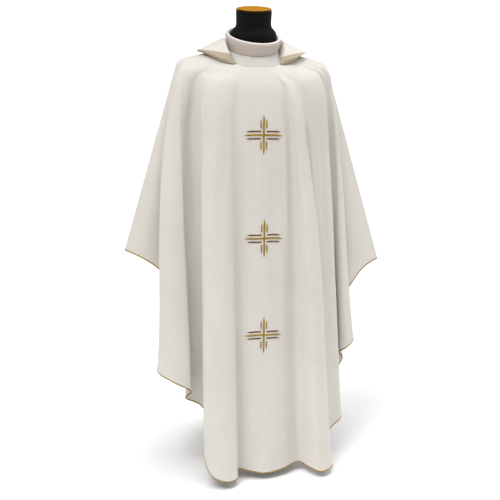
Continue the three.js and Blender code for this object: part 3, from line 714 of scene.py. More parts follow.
@dataclass(frozen=True)
class MetalFinish:
    """Dark painted steel, with dust on it."""

    name: str = "dark_painted_steel"
    paint: Colour = (52, 49, 46)
    dust: Colour = (92, 88, 82)
    roughness: tuple[float, float] = (0.38, 0.6)

    def make(self, groups: ShaderGroups) -> Material:
        """The material."""
        surface = Surface(self.name, {"Metallic": 0.4, "Coat Weight": 0.15, "Coat Roughness": 0.3}, groups)
        film, peel = surface.mottle(14.0, 0.45, 0.7), surface.mottle(700.0, 0.3, 0.7)
        colour = surface.colours(surface.tone((film, 0.6)), self.paint, self.dust)
        return surface.dressed(colour, film, self.roughness, peel, 0.0002, 0.3)


# Stitches along a path


class StitchForm(Enum):
    """How a thread lies on its path."""

    SATIN = "satin"
    WRAP = "wrap"
    RUNNING = "running"


@dataclass(frozen=True)
class StitchSizes:
    """Sizes of a row of stitches, in millimetres and degrees."""

    pitch: float
    thread: float
    height: float
    length: float = 1.0
    slant: float = 0.0
    looseness: float = 2.0
    seed: int = 3


def thread_shape(tree: NodeTree, form: StitchForm, given: Node) -> NodeSocket:
    """The centre line of one stitch.

    Args:
        tree: the geometry tree.
        form: how the thread lies.
        given: the tree's input node.

    Returns:
        A curve across, round or along the path, which runs along Y.
    """
    height, length = given.outputs["Height"], given.outputs["Length"]
    if form is StitchForm.WRAP:
        start, sweep = math.radians(WRAP_START), math.radians(WRAP_SWEEP)
        values = {"Resolution": 9, "Radius": height, "Start Angle": start, "Sweep Angle": sweep}
        arc = add_node(tree, "GeometryNodeCurveArc", {}, values).outputs["Curve"]
        turn = {"Geometry": arc, "Rotation": (math.radians(90), 0.0, 0.0)}
        return add_node(tree, "GeometryNodeTransform", {}, turn).outputs[0]
    reach = add_math(tree, "MULTIPLY", length, 0.5)
    back = add_math(tree, "MULTIPLY", length, -0.5)
    top = add_node(tree, "ShaderNodeCombineXYZ", {}, {2: add_math(tree, "MULTIPLY", height, 2.0)}).outputs[0]
    axis = 0 if form is StitchForm.SATIN else 1
    ends = [add_node(tree, "ShaderNodeCombineXYZ", {}, {axis: value}).outputs[0] for value in (back, reach)]
    values = {"Resolution": 5, "Start": ends[0], "Middle": top, "End": ends[1]}
    return add_node(tree, "GeometryNodeCurveQuadraticBezier", {}, values).outputs[0]


def stitch_tree(form: StitchForm) -> NodeTree:
    """A geometry tree that lays stitches along a path.

    The path's points carry a vector named outward and one named spread, which scales the stitch.

    Args:
        form: how the thread lies.

    Returns:
        The tree, with its sizes as named inputs.
    """
    tree = bpy.data.node_groups.new(f"{form.value}_stitches", "GeometryNodeTree")
    sizes = dict.fromkeys(("Pitch", "Thread", "Height", "Length", "Slant", "Looseness"), "Float")
    for label, kind in ({"Path": "Geometry"} | sizes | {"Seed": "Int", "Finish": "Material"}).items():
        tree.interface.new_socket(label, in_out="INPUT", socket_type="NodeSocket" + kind)
    tree.interface.new_socket("Stitches", in_out="OUTPUT", socket_type="NodeSocketGeometry")
    given = tree.nodes.new("NodeGroupInput")
    line = add_node(tree, "GeometryNodeMeshToCurve", {}, {0: given.outputs["Path"]}).outputs[0]
    spacing = {"Curve": line, "Length": given.outputs["Pitch"]}
    even = add_node(tree, "GeometryNodeResampleCurve", {"mode": "LENGTH"}, spacing)
    ring = {"Resolution": 5, "Radius": given.outputs["Thread"]}
    profile = add_node(tree, "GeometryNodeCurvePrimitiveCircle", {}, ring).outputs[0]
    body = {"Curve": thread_shape(tree, form, given), "Profile Curve": profile, "Fill Caps": True}
    stitch = add_node(tree, "GeometryNodeCurveToMesh", {}, body).outputs[0]
    vector = {"data_type": "FLOAT_VECTOR"}
    outward, spread = [
        add_node(tree, "GeometryNodeInputNamedAttribute", vector, {"Name": label}).outputs["Attribute"]
        for label in ("outward", "spread")
    ]
    tangent = tree.nodes.new("GeometryNodeInputTangent").outputs[0]
    axes = {"primary_axis": "Z", "secondary_axis": "Y"}
    aim = add_node(tree, "FunctionNodeAxesToRotation", axes, {"Primary Axis": outward, "Secondary Axis": tangent})
    dice = {2: -1.0, 3: 1.0, "Seed": given.outputs["Seed"]}
    chance = add_node(tree, "FunctionNodeRandomValue", {"data_type": "FLOAT"}, dice).outputs[1]
    loose = add_math(tree, "MULTIPLY", chance, given.outputs["Looseness"])
    yaw = add_math(tree, "ADD", given.outputs["Slant"], loose)
    upward = {"Axis": (0.0, 0.0, 1.0), "Angle": yaw}
    swing = add_node(tree, "FunctionNodeAxisAngleToRotation", {}, upward).outputs[0]
    local = {"rotation_space": "LOCAL"}
    turned = add_node(tree, "FunctionNodeRotateRotation", local, {0: aim.outputs[0], 1: swing}).outputs[0]
    place = {"Points": even.outputs[0], "Instance": stitch, "Rotation": turned, "Scale": spread}
    laid = add_node(tree, "GeometryNodeInstanceOnPoints", {}, place).outputs[0]
    whole = add_node(tree, "GeometryNodeRealizeInstances", {}, {0: laid}).outputs[0]
    smooth = add_node(tree, "GeometryNodeSetShadeSmooth", {}, {0: whole}).outputs[0]
    covered = {"Geometry": smooth, "Material": given.outputs["Finish"]}
    dressed = add_node(tree, "GeometryNodeSetMaterial", {}, covered)
    out = tree.nodes.new("NodeGroupOutput")
    tree.links.new(dressed.outputs[0], out.inputs[0])
    return tree


class Needle:
    """Lays stitches along paths and turns them into plain meshes."""

    def __init__(self) -> None:
        """Build one tree for each form of stitch."""
        self.trees = {form: stitch_tree(form) for form in StitchForm}

    def sew(
        self,
        name: str,
        form: StitchForm,
        sizes: StitchSizes,
        paths: Sequence[tuple[np.ndarray, np.ndarray, np.ndarray]],
        finish: Material,
    ) -> Object:
        """Stitches along one or more paths.

        Args:
            name: the piece's name.
            form: how the thread lies.
            sizes: of the stitches.
            paths: for each path its points in millimetres, the way out of the cloth, and the spread.
            finish: the thread's material.

        Returns:
            The stitches as one plain mesh object.
        """
        points, outward, spread = (np.concatenate(part) for part in zip(*paths))
        edges, start = [], 0
        for path in paths:
            edges += [(start + k, start + k + 1) for k in range(len(path[0]) - 1)]
            start += len(path[0])
        mesh = bpy.data.meshes.new(name + "_path")
        mesh.from_pydata((points * MM).tolist(), edges, [])
        for label, values in (("outward", outward), ("spread", spread)):
            attribute = mesh.attributes.new(label, "FLOAT_VECTOR", "POINT")
            attribute.data.foreach_set("vector", values.astype(np.float32).ravel())
        line = add_object(name + "_path", mesh)
        modifier = line.modifiers.new("stitches", "NODES")
        tree = self.trees[form]
        modifier.node_group = tree
        named = {
            "Pitch": sizes.pitch * MM,
            "Thread": sizes.thread * MM,
            "Height": sizes.height * MM,
            "Length": sizes.length if form is StitchForm.SATIN else sizes.length * MM,
            "Slant": math.radians(sizes.slant),
            "Looseness": math.radians(sizes.looseness),
            "Seed": sizes.seed,
            "Finish": finish,
        }
        for socket in tree.interface.items_tree:
            if socket.in_out == "INPUT" and socket.name in named:
                modifier[socket.identifier] = named[socket.name]
        graph = bpy.context.evaluated_depsgraph_get()
        made = bpy.data.meshes.new_from_object(line.evaluated_get(graph), depsgraph=graph)
        made.name = name
        bpy.data.objects.remove(line)
        return add_object(name, made)


def declare(piece: Object, slot: str, finish: Material, *nodes: str) -> Object:
    """Dress a piece, let it ride and hide the nodes that it stands for.

    Args:
        piece: the finished object.
        slot: a material slot name; not used.
        finish: its material.
        nodes: the nodes that it replaces.

    Returns:
        The same piece.
    """
    if not piece.data.materials:
        piece.data.materials.append(finish)
    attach(piece, BODY)
    if nodes:
        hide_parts(*nodes)
    LOG.info("%s: %d faces", piece.name, len(piece.data.polygons))
    return piece


# The garment


@dataclass
class Bodice:
    """Lines round the neck that every piece of the garment is cut to, in millimetres."""

    neck_half_width: float = 76
    neck_front: float = 90
    neck_back: float = 78
    neck_front_height: float = 1333
    neck_side_height: float = 1367
    neck_back_height: float = 1378
    break_half_width: float = 232
    break_front: float = 135
    break_back: float = 122
    break_side_height: float = 1332
    break_front_drop: float = 77
    break_back_drop: float = 42
    shoulder_tilt: float = 0.037
    rim_height: float = 1413
    rim_tilt_x: float = -0.07
    rim_tilt_y: float = 0.16
    roll_height: float = 37
    stand_radius: float = 71.3
    stand_head: float = 12
    stand_knee: float = 34
    wall: float = 2
    side_fullness: float = 0.25
    front_fullness: float = 0.2
    back_roundness: float = 0.8
    front_scoop: float = 6
    drop_roundness: float = 1.3

    def around_neck(self, turn: np.ndarray) -> np.ndarray:
        """Points of the neckline at some turns in degrees."""
        side, front = np.sin(np.radians(turn)), np.cos(np.radians(turn))
        x = self.neck_half_width * self.filled(side, self.side_fullness)
        ahead = -self.neck_front * self.filled(front, self.front_fullness)
        y = np.where(front >= 0, ahead, self.neck_back * np.abs(front) ** self.back_roundness)
        front_height = mix(self.neck_front_height, self.neck_side_height, np.abs(side) ** self.front_scoop)
        back_height = mix(self.neck_back_height, self.neck_side_height, side**2)
        height = np.where(front >= 0, front_height, back_height)
        return np.stack([x, y, height - self.shoulder_tilt * x], axis=-1)

    @staticmethod
    def filled(share: np.ndarray, fullness: float) -> np.ndarray:
        """A sine or cosine made fuller between nought and one."""
        return (1 + fullness) * share - fullness * share**3

    def around_break(self, turn: np.ndarray) -> np.ndarray:
        """Points where the cloth leaves the shoulders and starts to hang."""
        side, front = np.sin(np.radians(turn)), np.cos(np.radians(turn))
        x = self.break_half_width * side
        y = np.where(front >= 0, -self.break_front, self.break_back) * np.abs(front) ** self.back_roundness
        drop = np.where(front >= 0, self.break_front_drop, self.break_back_drop)
        drop = drop * np.abs(front) ** self.drop_roundness
        return np.stack([x, y, self.break_side_height - drop - self.shoulder_tilt * x], axis=-1)

    def around_rim(self, turn: np.ndarray, radius: Any, below: Any) -> np.ndarray:
        """Points round the collar at a radius, below its tilted rim."""
        x, y = radius * np.sin(np.radians(turn)), -radius * np.cos(np.radians(turn))
        sideways = self.rim_tilt_x * x * (1 - below / self.roll_height)
        return np.stack([x, y, self.rim_height + sideways + self.rim_tilt_y * y - below], axis=-1)

    def stand_foot(self, turn: np.ndarray) -> dict[str, np.ndarray]:
        """The stand's head, knee and foot at some turns, and the panel's neck line across the seam."""
        foot = self.around_neck(turn)
        knee = self.around_rim(turn, self.stand_radius, self.stand_knee)
        head = self.around_rim(turn, self.stand_radius, self.stand_head)
        run, yoke = unit(foot - knee), unit(self.around_break(turn) - foot)
        bend = np.arccos(np.clip(np.sum(run * yoke, axis=-1), -1, 1))
        step = (SEAM / 2 + np.tan(bend / 2) * self.wall / 2)[..., None]
        return {"head": head, "knee": knee, "foot": foot - run * step, "neck": foot + yoke * step}

    def on_yoke(self, turn: np.ndarray, distance: np.ndarray, lift: np.ndarray) -> np.ndarray:
        """Points over the shoulder cloth, at a distance from the neckline and a height above the cloth."""
        necks = [self.around_neck(turn), self.around_neck(turn + 1)]
        runs = [unit(self.around_break(turn) - necks[0]), unit(self.around_break(turn + 1) - necks[1])]
        place, beside = (neck + run * distance[..., None] for neck, run in zip(necks, runs))
        return place + unit(np.cross(runs[0], beside - place)) * lift[..., None]


@dataclass
class Panel:
    """Front or back: one cloth from the neckline over the shoulders to the hem.

    A pair of shares holds the one at the centre and the one at the sides.
    """

    name: str
    folds: Sequence[Fold]
    creases: Sequence[Crease]
    sign: int
    refine: int
    flat: tuple[float, float]
    area: float
    bodice: Bodice
    thickness: float = 1.2
    yoke_rows: int = 12
    break_rows: int = 14
    fall_rows: int = 124
    yoke_end: tuple[float, float] = (0.45, 0.16)
    fall_start: tuple[float, float] = (0.14, 0.035)
    yoke_tuck: float = 0.4
    swell_scale: float = 6.75
    sway_size: float = 90
    sway_depth: float = 1.6
    crease_fades: tuple[float, float] = (0.18, 0.4)
    neck_fade: tuple[float, float] = (0.01, 0.06)
    side_fade: tuple[float, float] = (2, 30)
    binding_half: float = 1.8
    binding_gap: float = 0.6
    binding_width: float = 3.5
    binding_lap: float = 1.2
    binding_plump: float = 0.74
    binding_slim: float = 0.62
    binding_sides: int = 10
    steep: tuple[float, float] = (0.4, 0.95)
    grid: np.ndarray = field(init=False)
    normals: np.ndarray = field(init=False)
    turns: np.ndarray = field(init=False)

    def shape(self) -> None:
        """Work out the cloth's middle points."""
        table = np.array([tuple(fold) for fold in self.folds], float)
        places = places_of([fold.steps for fold in self.folds], self.refine)
        hem = curve_through(table[:, 1:4], places)
        cut = curve_through(table[:, [0, 4, 5]], places)
        self.turns, bow, tuck = cut.T
        side = (np.sin(np.radians(self.turns)) ** 2)[:, None]
        neck = self.bodice.stand_foot(self.turns)["neck"]
        corner = self.bodice.around_break(self.turns)
        after = mix(*self.fall_start, side)
        start, end = mix(corner, neck, mix(*self.yoke_end, side)), mix(corner, hem, after)
        yoke = np.linspace(0, 1, self.yoke_rows, endpoint=False)
        bend = np.linspace(0, 1, self.break_rows, endpoint=False)
        fall = np.linspace(0, 1, self.fall_rows)
        rows = [mix(neck, start, at) for at in yoke]
        for at in bend:
            point = mix(mix(start, corner, at), mix(corner, end, at), at)
            rows.append(point + self.swell(bow, after[:, 0] * at**2))
        rows += [mix(end, hem, at) + self.swell(bow, mix(after[:, 0], 1, at)) for at in fall]
        grid = np.array(rows)
        tucked = self.yoke_tuck
        depth = [tucked * smooth_step(yoke, 0.5, 1), mix(tucked, 1, bend), 1 - smooth_step(fall, 0.2, 1)]
        grid = grid + grid_normals(grid, False) * (np.concatenate(depth)[:, None] * tuck)[..., None]
        normals = grid_normals(grid, False)
        grid = grid + normals * self.relief(grid)[..., None]
        normals = grid_normals(grid, False)
        for column in (0, -1):
            grid[:, column, 1] = self.sign * (SEAM / 2 + np.abs(normals[:, column, 1]) * self.thickness / 2)
        self.grid, self.normals = grid, grid_normals(grid, False)

    def swell(self, bow: np.ndarray, fallen: np.ndarray) -> np.ndarray:
        """Sideways swell of the lines at a share of their fall."""
        x = bow * self.swell_scale * fallen * (1 - fallen) ** 2
        return np.stack([x, np.zeros_like(x), np.zeros_like(x)], axis=-1)

    def relief(self, grid: np.ndarray) -> np.ndarray:
        """Creases and slow unevenness, as a height off the cloth in millimetres."""
        fallen = lengths_along(grid, 0)
        share = fallen / fallen[-1]
        across = lengths_along(grid, 1)
        height = self.sway_depth * sway(grid, self.sway_size, 7.0 * self.sign)
        columns = np.arange(len(self.turns), dtype=float)
        rows = np.arange(len(grid))[:, None]
        fade_in, fade_out = self.crease_fades
        for crease in self.creases:
            along = (share - crease.start) / (crease.end - crease.start)
            place = np.interp(mix(crease.turn, crease.end_turn, np.clip(along, 0, 1)), self.turns, columns)
            low = place.astype(int)
            centre = mix(across[rows, low], across[rows, np.minimum(low + 1, len(columns) - 1)], place - low)
            profile = np.exp(-(((across - centre) / crease.width) ** 2))
            height -= crease.depth * profile * smooth_step(along, 0, fade_in) * smooth_step(1 - along, 0, fade_out)
        edge = np.minimum(across, across[:, -1:] - across)
        return height * smooth_step(share, *self.neck_fade) * smooth_step(edge, *self.side_fade)

    def flat_map(self) -> np.ndarray:
        """Place of each point on the flat cloth, in metres."""
        flat = flat_of(self.grid)
        centre = np.argmin(np.abs(self.turns - round(float(np.mean(self.turns)) / 180) * 180))
        flat[..., 0] -= flat[:, centre : centre + 1, 0]
        return flat

    def cloth(self, finish: Material) -> Object:
        """The panel's own cloth."""
        piece = add_shell(self.name + "_cloth", self.grid, self.thickness, False, self.flat_map())
        return declare(piece, "ivory_cloth", finish, self.name)

    def hem_frame(self) -> dict[str, np.ndarray]:
        """The hem's line, the way down out of the cloth, and how far the binding is full there."""
        edge, normal = self.grid[-1], self.normals[-1]
        along = unit(np.gradient(edge, axis=0))
        down = unit(edge - self.grid[-4])
        slant = np.maximum(np.linalg.norm(np.cross(down, along), axis=1), self.steep[0])
        level = smooth_step(slant, *self.steep)
        out = unit(np.cross(along, normal))
        out *= np.sign(np.sum(out * down, axis=1))[:, None]
        centre = edge + down * ((self.binding_gap + self.binding_width / 2) / slant)[:, None]
        return {"centre": centre, "out": out, "normal": normal, "level": level}

    def binding(self, needle: Needle, finish: Material) -> list[Object]:
        """The gold binding: a soft strip round the hem, and the threads that hold it."""
        line = self.hem_frame()
        centre, normal, out = line["centre"], line["normal"], line["out"]
        half = mix(self.binding_slim, 1.0, line["level"])[:, None]
        rings = []
        for spoke in np.radians(np.arange(self.binding_sides) * 360 / self.binding_sides):
            lap = self.binding_lap if math.sin(spoke) > 0.5 else 0.0
            aside = normal * half * self.binding_half * self.binding_plump * math.cos(spoke)
            rings.append(centre + aside - out * half * (self.binding_width / 2 * math.sin(spoke) + lap))
        core = np.stack(rings, axis=1)
        count = self.binding_sides
        faces = [tuple(face) for face in quads(len(core), count, True)]
        faces += [tuple(range(count)), tuple(len(core) * count - 1 - k for k in range(count))]
        if self.sign < 0:
            faces = [face[::-1] for face in faces]
        strip = new_object(f"{self.name}_binding_strip", core.reshape(-1, 3), faces, 70)
        spread = np.concatenate([half, np.ones_like(half), half], axis=1)
        sizes = StitchSizes(pitch=1.5, thread=0.52, height=self.binding_half * 0.86, slant=16, looseness=3, seed=11)
        path = (centre, out, spread)
        threads = needle.sew(f"{self.name}_binding_threads", StitchForm.WRAP, sizes, [path], finish)
        side = "front" if self.sign < 0 else "back"
        declare(strip, "gold_binding", finish, f"hem_binding_{side}")
        return [strip, declare(threads, "gold_binding", finish)]

    def neck_stitches(self, needle: Needle, finish: Material) -> Object:
        """A row of fine stitches just below the neck seam."""
        normal = self.normals[1, 2:-2]
        line = self.grid[1, 2:-2] + normal * self.thickness / 2
        sizes = StitchSizes(pitch=3.2, thread=0.22, height=0.22, length=2.4, looseness=3, seed=5)
        path = (line, normal, np.ones_like(line))
        piece = needle.sew(f"{self.name}_neck_stitches", StitchForm.RUNNING, sizes, [path], finish)
        return declare(piece, "ivory_cloth", finish)


@dataclass
class Collars:
    """The roll collar, the stand under it and the flat pointed collar."""

    bodice: Bodice
    turns_round: int = 192
    refine: int = 5
    wall: float = 1.6
    stand_rows: tuple[int, int] = (8, 22)
    leaf_rows: tuple[int, int] = (6, 31)
    cape_clearance: float = 1.3
    cape_start: float = 9
    foot_out: float = 3
    foot_lift: float = -0.95
    under_neck: float = 5
    under_tip: float = -8
    under_lift: float = 7
    under_draw: float = 3
    turned_columns: int = 8
    turned_swell: float = 1.2
    # Painted highlight: the band at the roll collar's rim that is painted brighter, in millimetres below the rim.
    painted_highlight_band: float = 1.1
    # Painted shade under the pointed collar's lifted front edges: heights above the edge at the neck row, that row,
    # the columns it reaches inward, and the camera's line of sight that bounds it.
    painted_shade_heights: tuple[float, float] = (15, 23)
    painted_shade_row: int = 9
    painted_shade_columns: int = 14
    painted_shade_sight: tuple[float, float, float] = (0.21, 0.92, -0.34)

    def turns(self) -> np.ndarray:
        """Turns round the neck, in degrees."""
        return np.arange(self.turns_round) * 360 / self.turns_round

    def roll(self, finish: Material) -> Object:
        """The roll collar, from its inner leaf over the rim to the outer edge."""
        turn = self.turns()
        section = curve_through(ROLL_SECTION, places_of([1] * len(ROLL_SECTION), self.refine))
        rows = []
        wave = 0.5 * np.sin(np.radians(turn * 3 + 40)) + 0.35 * np.sin(np.radians(turn * 7 + 100))
        for radius, below in section:
            soft = smooth_step(below, 2, 30) if radius > ROLL_CREST else 0.0
            rows.append(self.bodice.around_rim(turn, radius + wave * soft, below + 0.5 * wave * soft))
        piece = add_shell("roll_collar_cloth", np.array(rows), self.wall, True)
        # Painted highlight: the top of the rim is painted brighter than the roll's painted shade.
        set_painted_light(piece, np.repeat(self.painted_highlight_band - section[:, 1], len(turn)))
        declare(piece, "collar_cloth", finish, "roll_collar")
        return piece

    def stand(self, finish: Material) -> Object:
        """The stand, with its seam at the front and its slight creases."""
        turn = self.turns()
        lines = self.bodice.stand_foot(turn)
        high, low = self.stand_rows
        rows = [mix(lines["head"], lines["knee"], at) for at in np.linspace(0, 1, high, endpoint=False)]
        rows += [mix(lines["knee"], lines["foot"], at) for at in np.linspace(0, 1, low)]
        grid = np.array(rows)
        away = [((turn - place + 180) % 360 - 180) / width for place, width, _ in STAND_CREASES]
        creases = sum(crease[2] * np.exp(-(gap**2)) for crease, gap in zip(STAND_CREASES, away))
        row = np.arange(high + low)
        soft = smooth_step(row, high - 2, high + 4) * smooth_step(row[::-1], 0, 3)
        grid = grid - grid_normals(grid, True) * (soft[:, None] * creases)[..., None]
        piece = add_shell("collar_stand_cloth", grid, self.wall, True)
        declare(piece, "collar_cloth", finish, "collar_stand")
        return piece

    def cape_line(self, row: np.ndarray, shares: np.ndarray, under: float = 0) -> np.ndarray:
        """One line of the pointed collar from its foot at the neckline outward.

        Args:
            row: turn, rise, end turn, reach, lift, crown and swing of the line.
            shares: places along it from 0 to 1.
            under: 1 or -1 for the turned-under edge of that line, to the front of it, and 0 for the leaf.

        Returns:
            The line's points.
        """
        turn, rise, end_turn, reach, lift, crown, swing = row
        bow = np.sin(np.pi * shares)
        turns = mix(turn, end_turn, shares) + swing * bow
        distance = mix(self.cape_start, reach, shares)
        height = mix(rise, lift, shares) + crown * bow
        first = turn
        if under:
            turns = turns + under * mix(self.under_neck, self.under_tip, shares)
            distance, height = distance - self.under_draw * shares, self.under_lift * shares**5
            first = turn + under * self.under_neck
        base = self.bodice.wall + self.cape_clearance
        leaf = self.bodice.on_yoke(turns, distance, height + base)
        foot = self.bodice.on_yoke(np.array([first]), np.array([self.foot_out]), np.array([self.foot_lift + base]))
        rising = [mix(foot[0], leaf[0], at) for at in np.linspace(0, 1, self.leaf_rows[0], endpoint=False)]
        return np.array([*rising, *leaf])

    def painted_shade_reach(self, grid: np.ndarray) -> np.ndarray:
        """How far the painted shade reaches beside each front edge of the pointed collar, over its turned-under
        edge and the leaf next to it.

        Args:
            grid: points of the leaf and of its turned-under edges.

        Returns:
            Millimetres inside the line from the point to the neck, a point.
        """
        reach = np.full(grid.shape[:2], -5.0)
        edges = ((self.turned_columns, 1), (grid.shape[1] - 1 - self.turned_columns, -1))
        for (edge, inward), height in zip(edges, self.painted_shade_heights):
            point, neck = grid[-1, edge], grid[self.painted_shade_row, edge] + np.array([0, 0, height])
            across = unit(np.cross(neck - point, self.painted_shade_sight))
            across *= -np.sign(across[2])
            columns = edge + inward * np.arange(-self.turned_columns, self.painted_shade_columns)
            reach[:, columns] = (grid[:, columns] - point) @ across
        return reach

    def cape(self, finish: Material) -> Object:
        """The flat pointed collar, with its front edges turned under."""
        table = np.array([tuple(line)[:7] for line in CAPE_LINES], float)
        places = places_of([line.steps for line in CAPE_LINES], self.refine)
        parts = (slice(0, 3), slice(3, 6), slice(6, 7))
        leaf = np.hstack([curve_through(table[:, part], places) for part in parts])
        shares = np.linspace(0, 1, self.leaf_rows[1])
        columns = [self.cape_line(row, shares) for row in leaf]
        for index, forward in ((0, -1), (-1, 1)):
            under = self.cape_line(leaf[index], shares, forward)
            edge, inside = (columns[0], columns[1]) if index == 0 else (columns[-1], columns[-2])
            ahead = mix(edge, under, 0.35) + unit(edge - inside) * self.turned_swell
            steps = np.linspace(0, 1, self.turned_columns + 1)[1:]
            turned = [mix(mix(edge, ahead, at), mix(ahead, under, at), at) for at in steps]
            columns = [*turned[::-1], *columns] if index == 0 else [*columns, *turned]
        grid = np.stack(columns, axis=1)
        piece = add_shell("pointed_collar_cloth", grid, self.wall, False)
        # Painted shade: the turned-under front edges and the leaf beside them are painted darker.
        set_painted_light(piece, self.painted_shade_reach(grid))
        declare(piece, "collar_cloth", finish, "pointed_collar")
        return piece


@dataclass
class Cross:
    """One embroidered cross of parallel bars on the front."""

    name: str
    x: float
    z: float
    lean: float
    arch: float
    half_width: float = 58
    long_half_width: float = 2.9
    short_half_width: float = 2.3
    tip_share: float = 0.22
    pitch: float = 0.62
    thread: float = 0.42
    lifts: tuple[float, float] = (1.25, 1.5)

    def path(self, bar: Bar, cloth: BVHTree) -> tuple[np.ndarray, np.ndarray, np.ndarray]:
        """A bar's centre line on the cloth, the way out of the cloth, and its width along it.

        Args:
            bar: which bar.
            cloth: the front's outer surface, in metres.

        Returns:
            Points, directions and spreads.
        """
        length = max(bar.x1 - bar.x0, bar.z1 - bar.z0)
        shares = np.linspace(0, 1, max(12, round(length / 2)))
        points, outward = [], []
        for share in shares:
            aside = mix(bar.x0, bar.x1, share)
            sag = self.lean * aside / self.half_width - self.arch * (aside / self.half_width) ** 2
            x, z = self.x + aside, self.z + mix(bar.z0, bar.z1, share) + sag
            place, normal, _, _ = cloth.ray_cast(Vector((x * MM, -1.0, z * MM)), Vector((0, 1, 0)))
            outward.append(np.array(normal) * (-1 if normal.y > 0 else 1))
            points.append(np.array(place) / MM + outward[-1] * 0.1)
        full = self.long_half_width if bar.name in ("upright", "level") else self.short_half_width
        width = np.full_like(shares, full)
        for taper, distance in ((bar.near_taper, shares * length), (bar.far_taper, (1 - shares) * length)):
            if taper:
                width = np.minimum(width, full * mix(self.tip_share, 1, np.clip(distance / taper, 0, 1)))
        spread = np.stack([width * MM, np.ones_like(width), np.ones_like(width)], axis=1)
        return np.array(points), np.array(outward), spread

    def sew(
        self, needle: Needle, cloth: BVHTree, gold: Material, shaded_gold_thread: Material
    ) -> list[Object]:
        """The plus and its upright bars in bright thread, and the short level bars in a darker copy of the gold
        thread, painted shade for their weaker shine.
        """
        made = []
        # Painted shade: the short level bars get the darker copy of the gold thread.
        rows = ((True, gold, "gold_thread", "uprights"), (False, shaded_gold_thread, "gold_thread_brown", "levels"))
        for bright, finish, slot, label in rows:
            bars = [bar for bar in BARS if bar.bright is bright]
            lift, seed = self.lifts[bright], 17 + int(self.z)
            sizes = StitchSizes(self.pitch, self.thread, lift, length=2.0, looseness=4, seed=seed)
            paths = [self.path(bar, cloth) for bar in bars]
            piece = needle.sew(f"cross_{self.name}_{label}", StitchForm.SATIN, sizes, paths, finish)
            names = ["plus" if bar.name == "upright" else bar.name for bar in bars if bar.name != "level"]
            made.append(declare(piece, slot, finish, *[f"cross_{self.name}_{name}" for name in names]))
        return made


# The dress form


